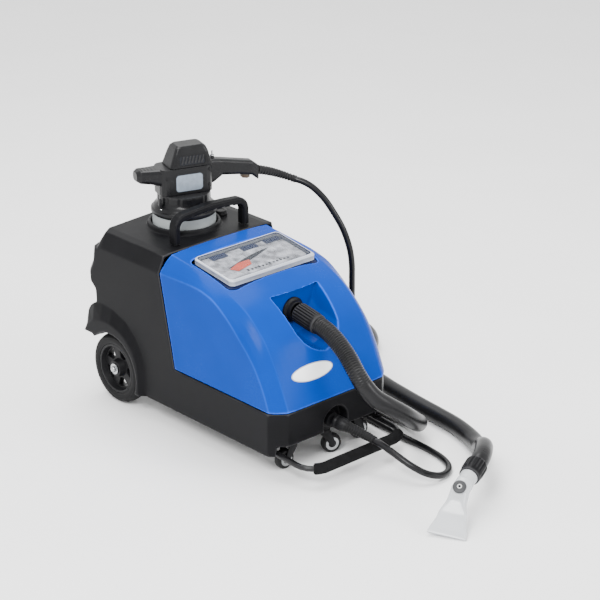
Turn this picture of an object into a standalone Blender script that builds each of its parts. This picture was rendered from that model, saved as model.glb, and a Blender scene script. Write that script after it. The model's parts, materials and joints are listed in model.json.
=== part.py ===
"""Foam and extraction cleaner for carpets and upholstery.

Metres, +Z up, the front faces -Y. The origin is on the floor, under the middle of the machine
without its loose hose and cable. The brush tool has its own frame: U along its handle, V across.
"""

import math

import bmesh
import bpy
from mathutils import Matrix, Vector

# Body and hood
HALF_WIDTH = 0.2065
HOOD_HALF_WIDTH = 0.205
FRONT_Y = -0.345
CORNER_X = 0.0397
CORNER_Y = 0.0345
RIM_Z = 0.1817
HOOD_BOTTOM_Z = 0.1832
SKIRT_SIDE_Z = 0.060
FLOOR_Z = 0.0886
WALL = 0.0045
GAP = 0.0003

# Rear wheels
AXLE_Y = 0.320
WHEEL_RADIUS = 0.100
ARCH_RADIUS = 0.107
WELL_X = 0.153
TYRE_IN_X = 0.158
TYRE_OUT_X = 0.208
AXLE_RADIUS = 0.008

# Deck
DOCK_Y = 0.259
DOCK_RADIUS = 0.0905
DOCK_FLOOR_Z = 0.4780
HANDLE_Y = 0.1535
CAP_X = 0.118
CAP_Y = 0.245

# Lid in the hood's sloping top
LID_FRONT_Y = -0.108
LID_REAR_Y = 0.046
LID_HALF_X = 0.148
LID_SLOPE = 0.145
LID_TOP_Z = 0.4905
POCKET_MARGIN = 0.0085
LID_DEPTH = 0.016

# Hose port and front connector
PORT_Z = 0.373
PORT_WALL_Y = -0.175
HOSE_RADIUS = 0.0240
CABLE_RADIUS = 0.0090
SOCKET_Z = 0.108
SOCKET_WALL_Y = -0.312
SOCKET_POCKET_RADIUS = 0.044

# Brush tool
TOOL_YAW = math.radians(-18.0)
COLUMN_RADIUS = 0.073
BRISTLE_RADIUS = 0.087
HEAD_LOW_Z = 0.588
HEAD_TOP_Z = 0.662
CAP_TOP_Z = 0.720

# Rear switches, stored switched off
ROCKER_TILT = math.radians(-8.0)

# Casters and lift bar
CASTER_RADIUS = 0.027
CASTER_TRAIL = 0.022
CASTERS = {
    "left": (-0.112, -0.291, 180.0),
    "centre": (0.000, -0.296, -20.0),
    "right": (0.112, -0.291, 0.0),
}
BAR_HALF_X = 0.172
BAR_LEG_Z = 0.058
BAR_FRONT_Y = -0.434
BAR_FRONT_Z = 0.050
BAR_RADIUS = 0.008
GRIP_RADIUS = 0.0150

# Routes of the free hose and cable, from the machine outwards
HOSE_START = [
    (0.0000, -0.2775, 0.3595),
    (0.0000, -0.2900, 0.3574),
    (0.0005, -0.3150, 0.3500),
    (0.0008, -0.3474, 0.3335),
    (0.0005, -0.3850, 0.3070),
    (-0.0020, -0.4190, 0.2750),
    (0.0075, -0.4410, 0.2395),
    (0.0290, -0.4586, 0.2055),
    (0.0640, -0.4725, 0.1765),
    (0.1150, -0.4800, 0.1384),
    (0.1680, -0.4665, 0.0980),
    (0.2190, -0.4300, 0.0630),
    (0.2520, -0.3800, 0.0400),
    (0.2700, -0.3250, 0.0295),
    (0.2770, -0.2650, 0.0255),
    (0.2785, -0.2100, 0.0295),
    (0.2770, -0.1600, 0.0400),
    (0.2745, -0.1080, 0.0452),
    (0.2725, -0.0500, 0.0380),
    (0.2708, 0.0200, 0.0264),
    (0.2700, 0.1000, 0.0245),
]
HOSE_TURN = (0.4420, 0.2260, 0.1720, 180.0, -68.7)
HOSE_RETURN = (0.5690, -0.1040, 0.1820, 111.3, 170.0)
HOSE_END = [
    (0.3790, -0.1480, 0.0245),
    (0.3665, -0.2250, 0.0245),
    (0.3560, -0.3020, 0.0245),
    (0.3480, -0.3740, 0.0245),
    (0.3390, -0.4450, 0.0245),
    (0.3260, -0.4970, 0.0248),
    (0.3067, -0.5470, 0.0264),
    (0.2786, -0.5920, 0.0330),
    (0.2452, -0.6285, 0.0508),
    (0.2160, -0.6624, 0.0805),
    (0.1831, -0.6986, 0.1021),
    (0.1430, -0.7328, 0.1113),
    (0.1145, -0.7510, 0.1107),
    (0.0962, -0.7580, 0.1066),
]
CABLE_ROUTE = [
    (0.0305, -0.4586, 0.0838),
    (0.0341, -0.4877, 0.0775),
    (0.0385, -0.5280, 0.0655),
    (0.0490, -0.5710, 0.0482),
    (0.0712, -0.6031, 0.0300),
    (0.1054, -0.6171, 0.0168),
    (0.1440, -0.6100, 0.0108),
    (0.1748, -0.5850, 0.0094),
    (0.1947, -0.5417, 0.0094),
    (0.2041, -0.4849, 0.0094),
    (0.2066, -0.4250, 0.0094),
    (0.2097, -0.3688, 0.0094),
    (0.2150, -0.3150, 0.0094),
    (0.2200, -0.2600, 0.0094),
    (0.2260, -0.2100, 0.0094),
    (0.2390, -0.1600, 0.0094),
    (0.2640, -0.1160, 0.0094),
    (0.2990, -0.0800, 0.0094),
    (0.3370, -0.0480, 0.0116),
    (0.3680, -0.0200, 0.0260),
    (0.3900, 0.0030, 0.0680),
    (0.4020, 0.0165, 0.1330),
    (0.4080, 0.0235, 0.2100),
    (0.4103, 0.0261, 0.2850),
    (0.4095, 0.0270, 0.3350),
    (0.4052, 0.0335, 0.3820),
    (0.3937, 0.0499, 0.4370),
    (0.3742, 0.0777, 0.4940),
    (0.3610, 0.0966, 0.5240),
    (0.3450, 0.1190, 0.5490),
    (0.3310, 0.1395, 0.5620),
    (0.3180, 0.1580, 0.5685),
]
HOSE_POINTS = 66
NOZZLE_HEAD = Vector((-0.0041, -0.7965, 0.0842))
NOZZLE_TIP_A = Vector((-0.1275, -0.7985, 0.0048))
NOZZLE_TIP_B = Vector((-0.0665, -0.8825, 0.0048))
NOZZLE_ROWS = [
    (0.00, 0.0235, 0.0210),
    (0.25, 0.0250, 0.0170),
    (0.58, 0.0370, 0.0080),
    (1.00, 0.0500, 0.0042),
]
CABLE_POINTS = 76

COLOURS = {
    "black_plastic": ((0.020, 0.021, 0.023), 0.42, 0.0),
    "dark_plastic": ((0.032, 0.033, 0.036), 0.50, 0.0),
    "blue_plastic": ((0.010, 0.160, 0.640), 0.32, 0.0),
    "clear_plastic": ((0.860, 0.900, 0.920), 0.08, 0.0),
    "white_plastic": ((0.780, 0.790, 0.780), 0.45, 0.0),
    "grey_plastic": ((0.330, 0.340, 0.350), 0.45, 0.0),
    "bristle": ((0.700, 0.710, 0.690), 0.75, 0.0),
    "label": ((0.560, 0.600, 0.630), 0.40, 0.0),
    "rubber": ((0.024, 0.024, 0.025), 0.70, 0.0),
    "foam": ((0.035, 0.035, 0.037), 0.95, 0.0),
    "hose": ((0.028, 0.028, 0.030), 0.55, 0.0),
    "steel": ((0.620, 0.630, 0.640), 0.28, 1.0),
    "bar_steel": ((0.050, 0.050, 0.054), 0.35, 0.6),
    "copper": ((0.560, 0.260, 0.120), 0.40, 1.0),
    "red": ((0.600, 0.045, 0.030), 0.40, 0.0),
}


# ---------------------------------------------------------------- shape helpers

def clear_scene():
    for obj in list(bpy.data.objects):
        bpy.data.objects.remove(obj, do_unlink=True)


def finish_material(obj, finish):
    colour, roughness, metallic = COLOURS[finish]
    material = bpy.data.materials.new(obj.name + "_" + finish)
    material.use_nodes = True
    shader = material.node_tree.nodes["Principled BSDF"]
    shader.inputs["Base Color"].default_value = (*colour, 1.0)
    shader.inputs["Roughness"].default_value = roughness
    shader.inputs["Metallic"].default_value = metallic
    obj.data.materials.append(material)


def mesh_of(name, shape):
    """A triangulated mesh with its faces turned outwards."""
    points, faces = shape
    mesh = bpy.data.meshes.new(name)
    mesh.from_pydata([tuple(point) for point in points], [], faces)
    work = bmesh.new()
    work.from_mesh(mesh)
    bmesh.ops.remove_doubles(work, verts=work.verts, dist=1e-6)
    bmesh.ops.triangulate(work, faces=work.faces)
    bmesh.ops.recalc_face_normals(work, faces=work.faces)
    work.to_mesh(mesh)
    work.free()
    mesh.shade_smooth()
    mesh.set_sharp_from_angle(angle=math.radians(35))
    return mesh


def add_part(name, shape, finish, origin=(0, 0, 0), parent=None):
    """A sub-part whose origin is moved to a point, such as one on its joint's axis."""
    offset = Vector(origin)
    points, faces = shape
    local = [Vector(point) - offset for point in points]
    obj = bpy.data.objects.new(name, mesh_of(name, (local, faces)))
    obj.location = offset
    obj.parent = parent
    bpy.context.scene.collection.objects.link(obj)
    finish_material(obj, finish)
    return obj


def add_helper(name, shape):
    """A hidden solid for a Boolean."""
    obj = bpy.data.objects.new(name, mesh_of(name, shape))
    obj.hide_render = True
    obj.display_type = "WIRE"
    bpy.context.scene.collection.objects.link(obj)
    return obj


def boolean(obj, other, operation):
    modifier = obj.modifiers.new(operation.lower() + "_" + other.name, "BOOLEAN")
    modifier.operation = operation
    modifier.solver = "EXACT"
    modifier.object = other


def cut(obj, *shapes):
    for shape in shapes:
        count = len(obj.modifiers)
        boolean(obj, add_helper(obj.name + "_cutter_" + str(count), shape), "DIFFERENCE")


def join(obj, *shapes):
    for shape in shapes:
        count = len(obj.modifiers)
        boolean(obj, add_helper(obj.name + "_piece_" + str(count), shape), "UNION")


def loft(rings):
    """Closed solid through rings of equally many points, flat at both ends."""
    size = len(rings[0])
    points = [Vector(point) for ring in rings for point in ring]
    faces = []
    for start in range(0, size * (len(rings) - 1), size):
        for i in range(size):
            j = (i + 1) % size
            faces.append((start + i, start + j, start + size + j, start + size + i))
    faces.append(tuple(range(size)))
    faces.append(tuple(range(len(points) - size, len(points))))
    return points, faces


def lathe(profile, steps, centre=(0, 0, 0), axis="Z", ring=False):
    """Solid turned from (radius, height) points: from axis to axis, or a closed ring's outline."""
    points = []
    rows = []
    for radius, height in profile:
        if radius < 1e-7:
            rows.append([len(points)])
            points.append((0.0, 0.0, height))
            continue
        rows.append(list(range(len(points), len(points) + steps)))
        for k in range(steps):
            angle = 2 * math.pi * k / steps
            points.append((radius * math.cos(angle), radius * math.sin(angle), height))
    faces = []
    pairs = list(zip(rows, rows[1:]))
    if ring:
        pairs.append((rows[-1], rows[0]))
    for low, high in pairs:
        for k in range(steps):
            n = (k + 1) % steps
            corners = [low[k % len(low)], low[n % len(low)], high[n % len(high)], high[k % len(high)]]
            faces.append(tuple(dict.fromkeys(corners)))
    turn = {
        "Z": Matrix.Identity(3),
        "X": Matrix(((0, 0, 1), (1, 0, 0), (0, 1, 0))),
        "Y": Matrix(((0, 1, 0), (0, 0, 1), (1, 0, 0))),
    }[axis]
    return [turn @ Vector(point) + Vector(centre) for point in points], faces


def aimed(shape, origin, direction):
    """A shape made along +Z, turned so that +Z points along the direction, then moved."""
    turn = Vector(direction).to_track_quat("Z", "Y")
    points, faces = shape
    return [turn @ Vector(point) + Vector(origin) for point in points], faces


def turned(shape, origin, degrees):
    """A shape turned about +Z at the world's origin, then moved."""
    turn = Matrix.Rotation(math.radians(degrees), 3, "Z")
    points, faces = shape
    return [turn @ Vector(point) + Vector(origin) for point in points], faces


def box(low, high):
    corners = [(low[0], low[1]), (high[0], low[1]), (high[0], high[1]), (low[0], high[1])]
    return loft([[(x, y, z) for x, y in corners] for z in (low[2], high[2])])


def prism(outline, low, high, axis):
    """An outline of (a, b) points extruded along an axis: (y, z) for X, (x, z) for Y, (x, y) for Z."""
    place = {
        "X": lambda a, b, h: (h, a, b),
        "Y": lambda a, b, h: (a, h, b),
        "Z": lambda a, b, h: (a, b, h),
    }[axis]
    return loft([[place(a, b, h) for a, b in outline] for h in (low, high)])


def arc(centre, radius, start, end, steps):
    points = []
    for k in range(steps + 1):
        angle = math.radians(start + (end - start) * k / steps)
        points.append((centre[0] + radius * math.cos(angle), centre[1] + radius * math.sin(angle)))
    return points


def rounded(low, high, radius, steps=3):
    """A rectangle's outline with round corners, counter-clockwise."""
    (x0, y0), (x1, y1) = low, high
    r = radius
    return (
        arc((x1 - r, y0 + r), r, -90, 0, steps)
        + arc((x1 - r, y1 - r), r, 0, 90, steps)
        + arc((x0 + r, y1 - r), r, 90, 180, steps)
        + arc((x0 + r, y0 + r), r, 180, 270, steps)
    )


def sweep(path, section, side):
    """A flat-ended solid whose (side, up) section follows a path that lies across the side vector."""
    path = [Vector(point) for point in path]
    side = Vector(side).normalized()
    rings = []
    for i, point in enumerate(path):
        before = path[max(i - 1, 0)]
        after = path[min(i + 1, len(path) - 1)]
        along = (after - before).normalized()
        up = side.cross(along).normalized()
        inner = (path[i] - before).normalized() if 0 < i < len(path) - 1 else along
        stretch = 1.0 / max(0.5, along.dot(inner))
        rings.append([point + side * a + up * (b * stretch) for a, b in section])
    return loft(rings)


def circle(radius, steps):
    angles = [2 * math.pi * (k + 0.5) / steps for k in range(steps)]
    return [(radius * math.cos(angle), radius * math.sin(angle)) for angle in angles]


def spline(route, count):
    """Evenly spaced points on a smooth curve through the route."""
    route = [Vector(point) for point in route]
    ends = [route[0] * 2 - route[1]] + route + [route[-1] * 2 - route[-2]]
    dense = []
    for i in range(1, len(ends) - 2):
        before, start, end, after = ends[i - 1], ends[i], ends[i + 1], ends[i + 2]
        for k in range(24):
            t = k / 24
            dense.append(
                0.5 * (
                    2 * start
                    + (end - before) * t
                    + (2 * before - 5 * start + 4 * end - after) * t * t
                    + (3 * start - before - 3 * end + after) * t ** 3
                )
            )
    dense.append(route[-1])
    lengths = [0.0]
    for a, b in zip(dense, dense[1:]):
        lengths.append(lengths[-1] + (b - a).length)
    points = []
    place = 0
    for k in range(count):
        target = lengths[-1] * k / (count - 1)
        while place < len(dense) - 2 and lengths[place + 1] < target:
            place += 1
        step = lengths[place + 1] - lengths[place]
        points.append(dense[place].lerp(dense[place + 1], (target - lengths[place]) / step))
    return points


def add_cord(name, route, count, radius, sides, finish):
    curve = bpy.data.curves.new(name, "CURVE")
    curve.dimensions = "3D"
    curve.bevel_depth = radius
    curve.bevel_resolution = sides
    curve.use_fill_caps = True
    line = curve.splines.new("POLY")
    points = spline(route, count)
    first = (Vector(route[1]) - Vector(route[0])).normalized() * radius * 0.4
    last = (Vector(route[-2]) - Vector(route[-1])).normalized() * radius * 0.4
    points = [points[0], points[0] + first] + points[1:-1] + [points[-1] + last, points[-1]]
    line.points.add(len(points) - 1)
    for slot, point in zip(line.points, points):
        slot.co = (*point, 1.0)
    obj = bpy.data.objects.new(name, curve)
    bpy.context.scene.collection.objects.link(obj)
    finish_material(obj, finish)
    return obj


# ---------------------------------------------------------------- body

def mirrored(stations):
    """Rings for both sides from stations (x, [(y, z), ...]) listed from the edge to the middle."""
    rings = [[(-x, y, z) for y, z in outline] for x, outline in stations]
    rings += [[(x, y, z) for y, z in outline] for x, outline in reversed(stations) if x > 0]
    return rings


def chassis_outline(front, floor, deck, deck_rear, inset, seam_top):
    """Side view of the body at one station, from the front's foot over rim and deck to the rear."""
    rear = [(0.415, 0.462), (0.4255, 0.434), (0.432, 0.390), (0.4485, 0.359), (0.4465, 0.332)]
    rear += [(0.426, 0.314), (0.424, 0.290), (0.424, 0.185)]
    low_deck = min(deck, 0.4385)
    back = [(y - inset, min(z, low_deck - 0.001 * (5 - k) if k < 2 else z)) for k, (y, z) in enumerate(rear)]
    return [
        (front, floor),
        (front, RIM_Z),
        (0.064, RIM_Z),
        (0.1145, 0.410),
        seam_top,
        (deck_rear, deck),
        *back,
        (0.360, 0.150),
        (0.270, 0.135),
        (0.235, floor),
    ]


def chassis_stations():
    corner = FRONT_Y + CORNER_Y
    middle = HALF_WIDTH - CORNER_X
    shoulder = chassis_outline(corner - 0.0135, SKIRT_SIDE_Z, 0.4865, 0.362, 0.011, (0.116, 0.4865))
    flat = chassis_outline(FRONT_Y, FLOOR_Z, 0.4895, 0.376, 0.0, (0.115, 0.4895))
    skirt_root = [(y, max(z, FLOOR_Z)) for y, z in between(flat, shoulder, 0.857)]
    return [
        (HALF_WIDTH, chassis_outline(corner, SKIRT_SIDE_Z, 0.4415, 0.365, 0.030, (0.121, 0.4415))),
        (0.191, shoulder),
        (0.1875, skirt_root),
        (middle, flat),
        (0.0, chassis_outline(FRONT_Y, FLOOR_Z, 0.4930, 0.385, 0.0, (0.115, 0.4930))),
    ]


def cavity_stations():
    """The hollow of tray and rear body, open upwards under the hood."""
    stations = []
    corner = FRONT_Y + CORNER_Y
    middle = HALF_WIDTH - CORNER_X
    rows = [
        (HALF_WIDTH - WALL, corner, 0.1000, 0.4415, 0.030),
        (0.187, corner - 0.013, 0.0960, 0.4830, 0.013),
        (middle - 0.002, FRONT_Y, FLOOR_Z, 0.4890, 0.0),
        (0.0, FRONT_Y, FLOOR_Z, 0.4920, 0.0),
    ]
    for x, front, floor, deck, inset in rows:
        rear = 0.418 - inset
        outline = [
            (front + WALL, floor + WALL),
            (front + WALL, RIM_Z + 0.09),
            (0.030, RIM_Z + 0.09),
            (0.090, deck - WALL),
            (0.372 - inset, deck - WALL),
            (rear - 0.012, min(deck - 0.03, 0.440)),
            (rear, 0.400),
            (rear, 0.205),
            (0.352, 0.160),
            (0.264, 0.1405),
            (0.229, floor + WALL),
        ]
        stations.append((x, outline))
    return stations


def fender(side):
    """The flared wheel arch, proud of the body's side."""
    crease = [(0.188, 0.060), (0.189, 0.110), (0.191, 0.140), (0.202, 0.180), (0.228, 0.221)]
    crease += [(0.269, 0.255), (0.325, 0.2735), (0.369, 0.2775), (0.405, 0.271), (0.431, 0.245)]
    crease += [(0.4445, 0.184), (0.400, 0.184), (0.320, 0.100), (0.240, 0.060)]
    lip = [(0.204, 0.060), (0.205, 0.110), (0.207, 0.136), (0.217, 0.168), (0.239, 0.199)]
    lip += [(0.272, 0.223), (0.320, 0.236), (0.360, 0.235), (0.394, 0.224), (0.419, 0.205)]
    lip += [(0.436, 0.184), (0.400, 0.184), (0.320, 0.100), (0.240, 0.060)]
    stations = ((0.150, crease), (0.2068, crease), (0.2215, lip))
    rings = [[(side * x, y, z) for y, z in outline] for x, outline in stations]
    return loft(rings)


def wheel_well(side, margin):
    low = side * (WELL_X - margin)
    profile = [
        (0, low),
        (ARCH_RADIUS + margin, low),
        (ARCH_RADIUS + margin, side * 0.24),
        (0, side * 0.24),
    ]
    return lathe(profile, 30, (0, AXLE_Y, WHEEL_RADIUS), "X")


def socket_pocket(margin):
    """The round pocket in the front face, for the umbilical's connector."""
    radius = SOCKET_POCKET_RADIUS + margin
    profile = [(0, SOCKET_WALL_Y + margin), (radius, SOCKET_WALL_Y + margin), (radius, -0.40), (0, -0.40)]
    return lathe(profile, 22, (0, 0, SOCKET_Z), "Y")


def make_chassis():
    shell = add_part("chassis_shell", loft(mirrored(chassis_stations())), "black_plastic")
    dock_rim = [(0, 0.470), (0.0998, 0.470), (0.0998, 0.4935), (0.0962, 0.5025), (0, 0.5025)]
    join(shell, fender(-1), fender(1), lathe(dock_rim, 32, (0, DOCK_Y, 0)))
    cavity = add_helper("chassis_cavity", loft(mirrored(cavity_stations())))
    dock_block = [(0, DOCK_FLOOR_Z - WALL), (DOCK_RADIUS + WALL, DOCK_FLOOR_Z - WALL)]
    dock_block += [(DOCK_RADIUS + WALL, 0.55), (0, 0.55)]
    cut(cavity, wheel_well(-1, WALL), wheel_well(1, WALL), socket_pocket(WALL))
    cut(cavity, lathe(dock_block, 32, (0, DOCK_Y, 0)))
    boolean(shell, cavity, "DIFFERENCE")
    dock = [(0, DOCK_FLOOR_Z), (DOCK_RADIUS, DOCK_FLOOR_Z), (DOCK_RADIUS, 0.55), (0, 0.55)]
    cut(shell, wheel_well(-1, 0), wheel_well(1, 0), socket_pocket(0), lathe(dock, 32, (0, DOCK_Y, 0)))
    bore = [(0, -0.16), (AXLE_RADIUS + GAP, -0.16), (AXLE_RADIUS + GAP, 0.16), (0, 0.16)]
    filler = [(0, 0.47), (0.0115, 0.47), (0.0115, 0.51), (0, 0.51)]
    cut(shell, lathe(bore, 16, (0, AXLE_Y, WHEEL_RADIUS), "X"), lathe(filler, 20, (CAP_X, CAP_Y, 0)))


# ---------------------------------------------------------------- hood

HOOD_EDGE = [(0.1180, 0.4415), (-0.017, 0.4440), (-0.072, 0.4370), (-0.111, 0.4220), (-0.158, 0.3900)]
HOOD_EDGE += [(-0.203, 0.3490), (-0.236, 0.3170), (-0.264, 0.2820), (-0.291, 0.2340), (-0.3105, 0.1870)]
HOOD_SHOULDER = [(0.1135, 0.4865), (0.005, 0.4730), (-0.050, 0.4620), (-0.086, 0.4530), (-0.142, 0.4340)]
HOOD_SHOULDER += [
    (-0.189, 0.4110),
    (-0.230, 0.3780),
    (-0.267, 0.3370),
    (-0.306, 0.2690),
    (-0.3455, 0.1870),
]
HOOD_CREST = [(0.1135, 0.4920), (0.005, 0.4850), (-0.050, 0.4760), (-0.086, 0.4680), (-0.145, 0.4500)]
HOOD_CREST += [(-0.197, 0.4250), (-0.247, 0.3860), (-0.286, 0.3380), (-0.319, 0.2670), (-0.3475, 0.1870)]


def inset_profile(profile, depth):
    """A profile moved inwards by a wall's thickness, run on past both ends."""
    points = []
    for i, (y, z) in enumerate(profile):
        y0, z0 = profile[max(i - 1, 0)]
        y1, z1 = profile[min(i + 1, len(profile) - 1)]
        length = math.hypot(y1 - y0, z1 - z0)
        points.append((y - (z1 - z0) / length * depth, z + (y1 - y0) / length * depth))
    return points


def between(first, second, share):
    return [(a[0] + (b[0] - a[0]) * share, a[1] + (b[1] - a[1]) * share) for a, b in zip(first, second)]


def hood_stations(depth):
    """Stations of the hood's outer surface, or of the hollow under it when depth is a wall."""
    rows = [
        (HOOD_HALF_WIDTH - depth, HOOD_EDGE),
        (0.186, between(HOOD_EDGE, HOOD_SHOULDER, 0.62)),
        (0.1665, HOOD_SHOULDER),
        (0.110, between(HOOD_SHOULDER, HOOD_CREST, 0.55)),
        (0.055, between(HOOD_SHOULDER, HOOD_CREST, 0.88)),
        (0.0, HOOD_CREST),
    ]
    stations = []
    for x, profile in rows:
        if depth:
            profile = inset_profile(profile, depth)
            rear = profile[0]
            front = profile[-1]
            outline = [(rear[0] + 0.03, rear[1]), *profile, (front[0], 0.15), (rear[0] + 0.03, 0.15)]
        else:
            outline = [*profile, (profile[-1][0], HOOD_BOTTOM_Z), (0.0628, HOOD_BOTTOM_Z)]
        stations.append((x, outline))
    return stations


def lid_z(y, lift=0.0):
    """Height of the lid's top plane over a point."""
    return LID_TOP_Z - (LID_REAR_Y - y) * LID_SLOPE + lift


def lid_slab(margin, radius, low, high, steps=3):
    """A slab with round corners, parallel to the lid's top plane."""
    front = (-LID_HALF_X - margin, LID_FRONT_Y - margin)
    rear = (LID_HALF_X + margin, LID_REAR_Y + margin)
    outline = rounded(front, rear, radius, steps)
    return loft([[(x, y, lid_z(y, h)) for x, y in outline] for h in (low, high)])


def port_recess(margin):
    """The shield-shaped recess in the hood around the hose port."""
    rows = [(0.0, 0.300), (0.040, 0.314), (0.071, 0.352), (0.082, 0.412)]
    rings = []
    for x, bottom in [(-x, z) for x, z in reversed(rows)] + rows[1:]:
        grown = x + math.copysign(margin, x) if abs(x) > 0.08 else x
        low = bottom - margin
        back = PORT_WALL_Y + margin
        top = 0.4300 + margin
        rings.append([
            (grown, -0.42, low - 0.004),
            (grown, -0.255, low),
            (grown, back - 0.022, low + 0.014),
            (grown, back, low + 0.036 if bottom < 0.38 else low + 0.010),
            (grown, back, top),
            (grown, -0.42, top),
        ])
    return loft(rings)


def make_hood():
    hood = add_part("front_hood", loft(mirrored(hood_stations(0.0))), "blue_plastic")
    hollow = add_helper("hood_hollow", loft(mirrored(hood_stations(0.0038))))
    cut(hollow, port_recess(0.0038))
    boolean(hood, hollow, "DIFFERENCE")
    port_hole = [(0, -0.10), (0.0265, -0.10), (0.0265, -0.24), (0, -0.24)]
    cut(hood, port_recess(0.0), lid_slab(POCKET_MARGIN, 0.020, -0.05, 0.05))
    cut(hood, lathe(port_hole, 24, (0, 0, PORT_Z), "Y"))
    return hood


def make_lid():
    """Clear lid, its seat and its two hinge leaves."""
    hinge_y = LID_REAR_Y + 0.0035
    hinge = (0.0, hinge_y, lid_z(hinge_y, -0.006))
    frame = lid_slab(POCKET_MARGIN - 0.0006, 0.019, -0.0290, -0.0215)
    gasket = add_part("lid_gasket", frame, "blue_plastic")
    cut(gasket, lid_slab(-0.014, 0.012, -0.06, 0.02))
    lid = add_part("clear_lid", lid_slab(0.0, 0.014, -LID_DEPTH, 0.0), "clear_plastic", hinge)
    cutter = add_helper("clear_lid_hollow", lid_slab(-0.003, 0.011, -LID_DEPTH - 0.01, -0.003))
    boolean(lid, cutter, "DIFFERENCE")
    for side, x in (("left", -0.075), ("right", 0.075)):
        rows = [(x - 0.030, -1), (x + 0.030, 1)]
        rings = []
        for at, _ in rows:
            rings.append([
                (at, LID_REAR_Y + 0.0004, lid_z(LID_REAR_Y, -0.0155)),
                (at, LID_REAR_Y + 0.0074, lid_z(LID_REAR_Y, -0.0155)),
                (at, LID_REAR_Y + 0.0074, lid_z(LID_REAR_Y, -0.0035)),
                (at, LID_REAR_Y + 0.0004, lid_z(LID_REAR_Y, -0.0035)),
            ])
        add_part("lid_hinge_" + side, loft(rings), "dark_plastic", hinge)


# ---------------------------------------------------------------- inside

def make_internals():
    tank_outline = rounded((-0.125, -0.132), (0.125, 0.062), 0.022)
    recovery = add_part("recovery_tank", prism(tank_outline, 0.252, 0.425, "Z"), "grey_plastic")
    inner = rounded((-0.1215, -0.1285), (0.1215, 0.0585), 0.0185)
    cut(recovery, prism(inner, 0.256, 0.50, "Z"))
    slope = [(-0.160, 0.388), (-0.060, 0.4245), (-0.060, 0.500), (-0.160, 0.500)]
    cut(recovery, prism(slope, -0.15, 0.15, "X"))
    cage = [
        (0.020, 0.2565),
        (0.020, 0.372),
        (0.0005, 0.372),
        (0.0005, 0.368),
        (0.0175, 0.368),
        (0.0175, 0.2565),
    ]
    float_place = (0.080, 0.005, 0)
    cage_part = add_part("float_cage", lathe(cage, 20, float_place, ring=True), "dark_plastic")
    cut(cage_part, box((0.070, -0.03, 0.275), (0.090, 0.04, 0.352)))
    ball = [(0, 0.2565)]
    for angle in range(-60, 61, 30):
        turn = math.radians(angle)
        ball.append((0.0145 * math.cos(turn), 0.2710 + 0.0145 * math.sin(turn)))
    ball += [(0, 0.2855)]
    add_part("float_ball", lathe(ball, 16, float_place), "white_plastic", (0.080, 0.005, 0.2710))
    tank_outline = rounded((0.068, 0.135), (0.190, 0.388), 0.020)
    foam = add_part("foam_tank", prism(tank_outline, 0.228, 0.450, "Z"), "white_plastic")
    neck = [(0, 0.440), (0.0142, 0.440), (0.0142, 0.4847), (0, 0.4847)]
    join(foam, lathe(neck, 20, (CAP_X, CAP_Y, 0)))
    cut(foam, prism(rounded((0.071, 0.138), (0.187, 0.385), 0.017), 0.231, 0.447, "Z"))
    bore = [(0, 0.400), (0.0115, 0.400), (0.0115, 0.50), (0, 0.50)]
    cut(foam, lathe(bore, 20, (CAP_X, CAP_Y, 0)))
    motor = [
        (0.056, 0.150),
        (0.056, 0.232),
        (0.040, 0.240),
        (0.040, 0.300),
        (0.0335, 0.300),
        (0.0335, 0.236),
    ]
    motor += [(0.0525, 0.228), (0.0525, 0.1535), (0.018, 0.1535), (0.018, 0.150)]
    motor_place = (0.0, 0.322, 0.045)
    add_part("vacuum_motor", lathe(motor, 20, motor_place, ring=True), "dark_plastic")
    fan = [(0.0, 0.170), (0.047, 0.170), (0.049, 0.173), (0.049, 0.186), (0.047, 0.188), (0.010, 0.196)]
    fan += [(0.006, 0.290), (0.0, 0.290)]
    add_part("vacuum_impeller", lathe(fan, 20, motor_place), "steel", (0.0, 0.322, 0.220))
    pump = add_part("foam_pump", box((0.040, -0.262, 0.0945), (0.160, -0.190, 0.150)), "dark_plastic")
    join(pump, lathe([(0, 0.05), (0.032, 0.05), (0.032, 0.155), (0, 0.155)], 20, (0, -0.226, 0.142), "X"))


# ---------------------------------------------------------------- rear wheels

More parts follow.
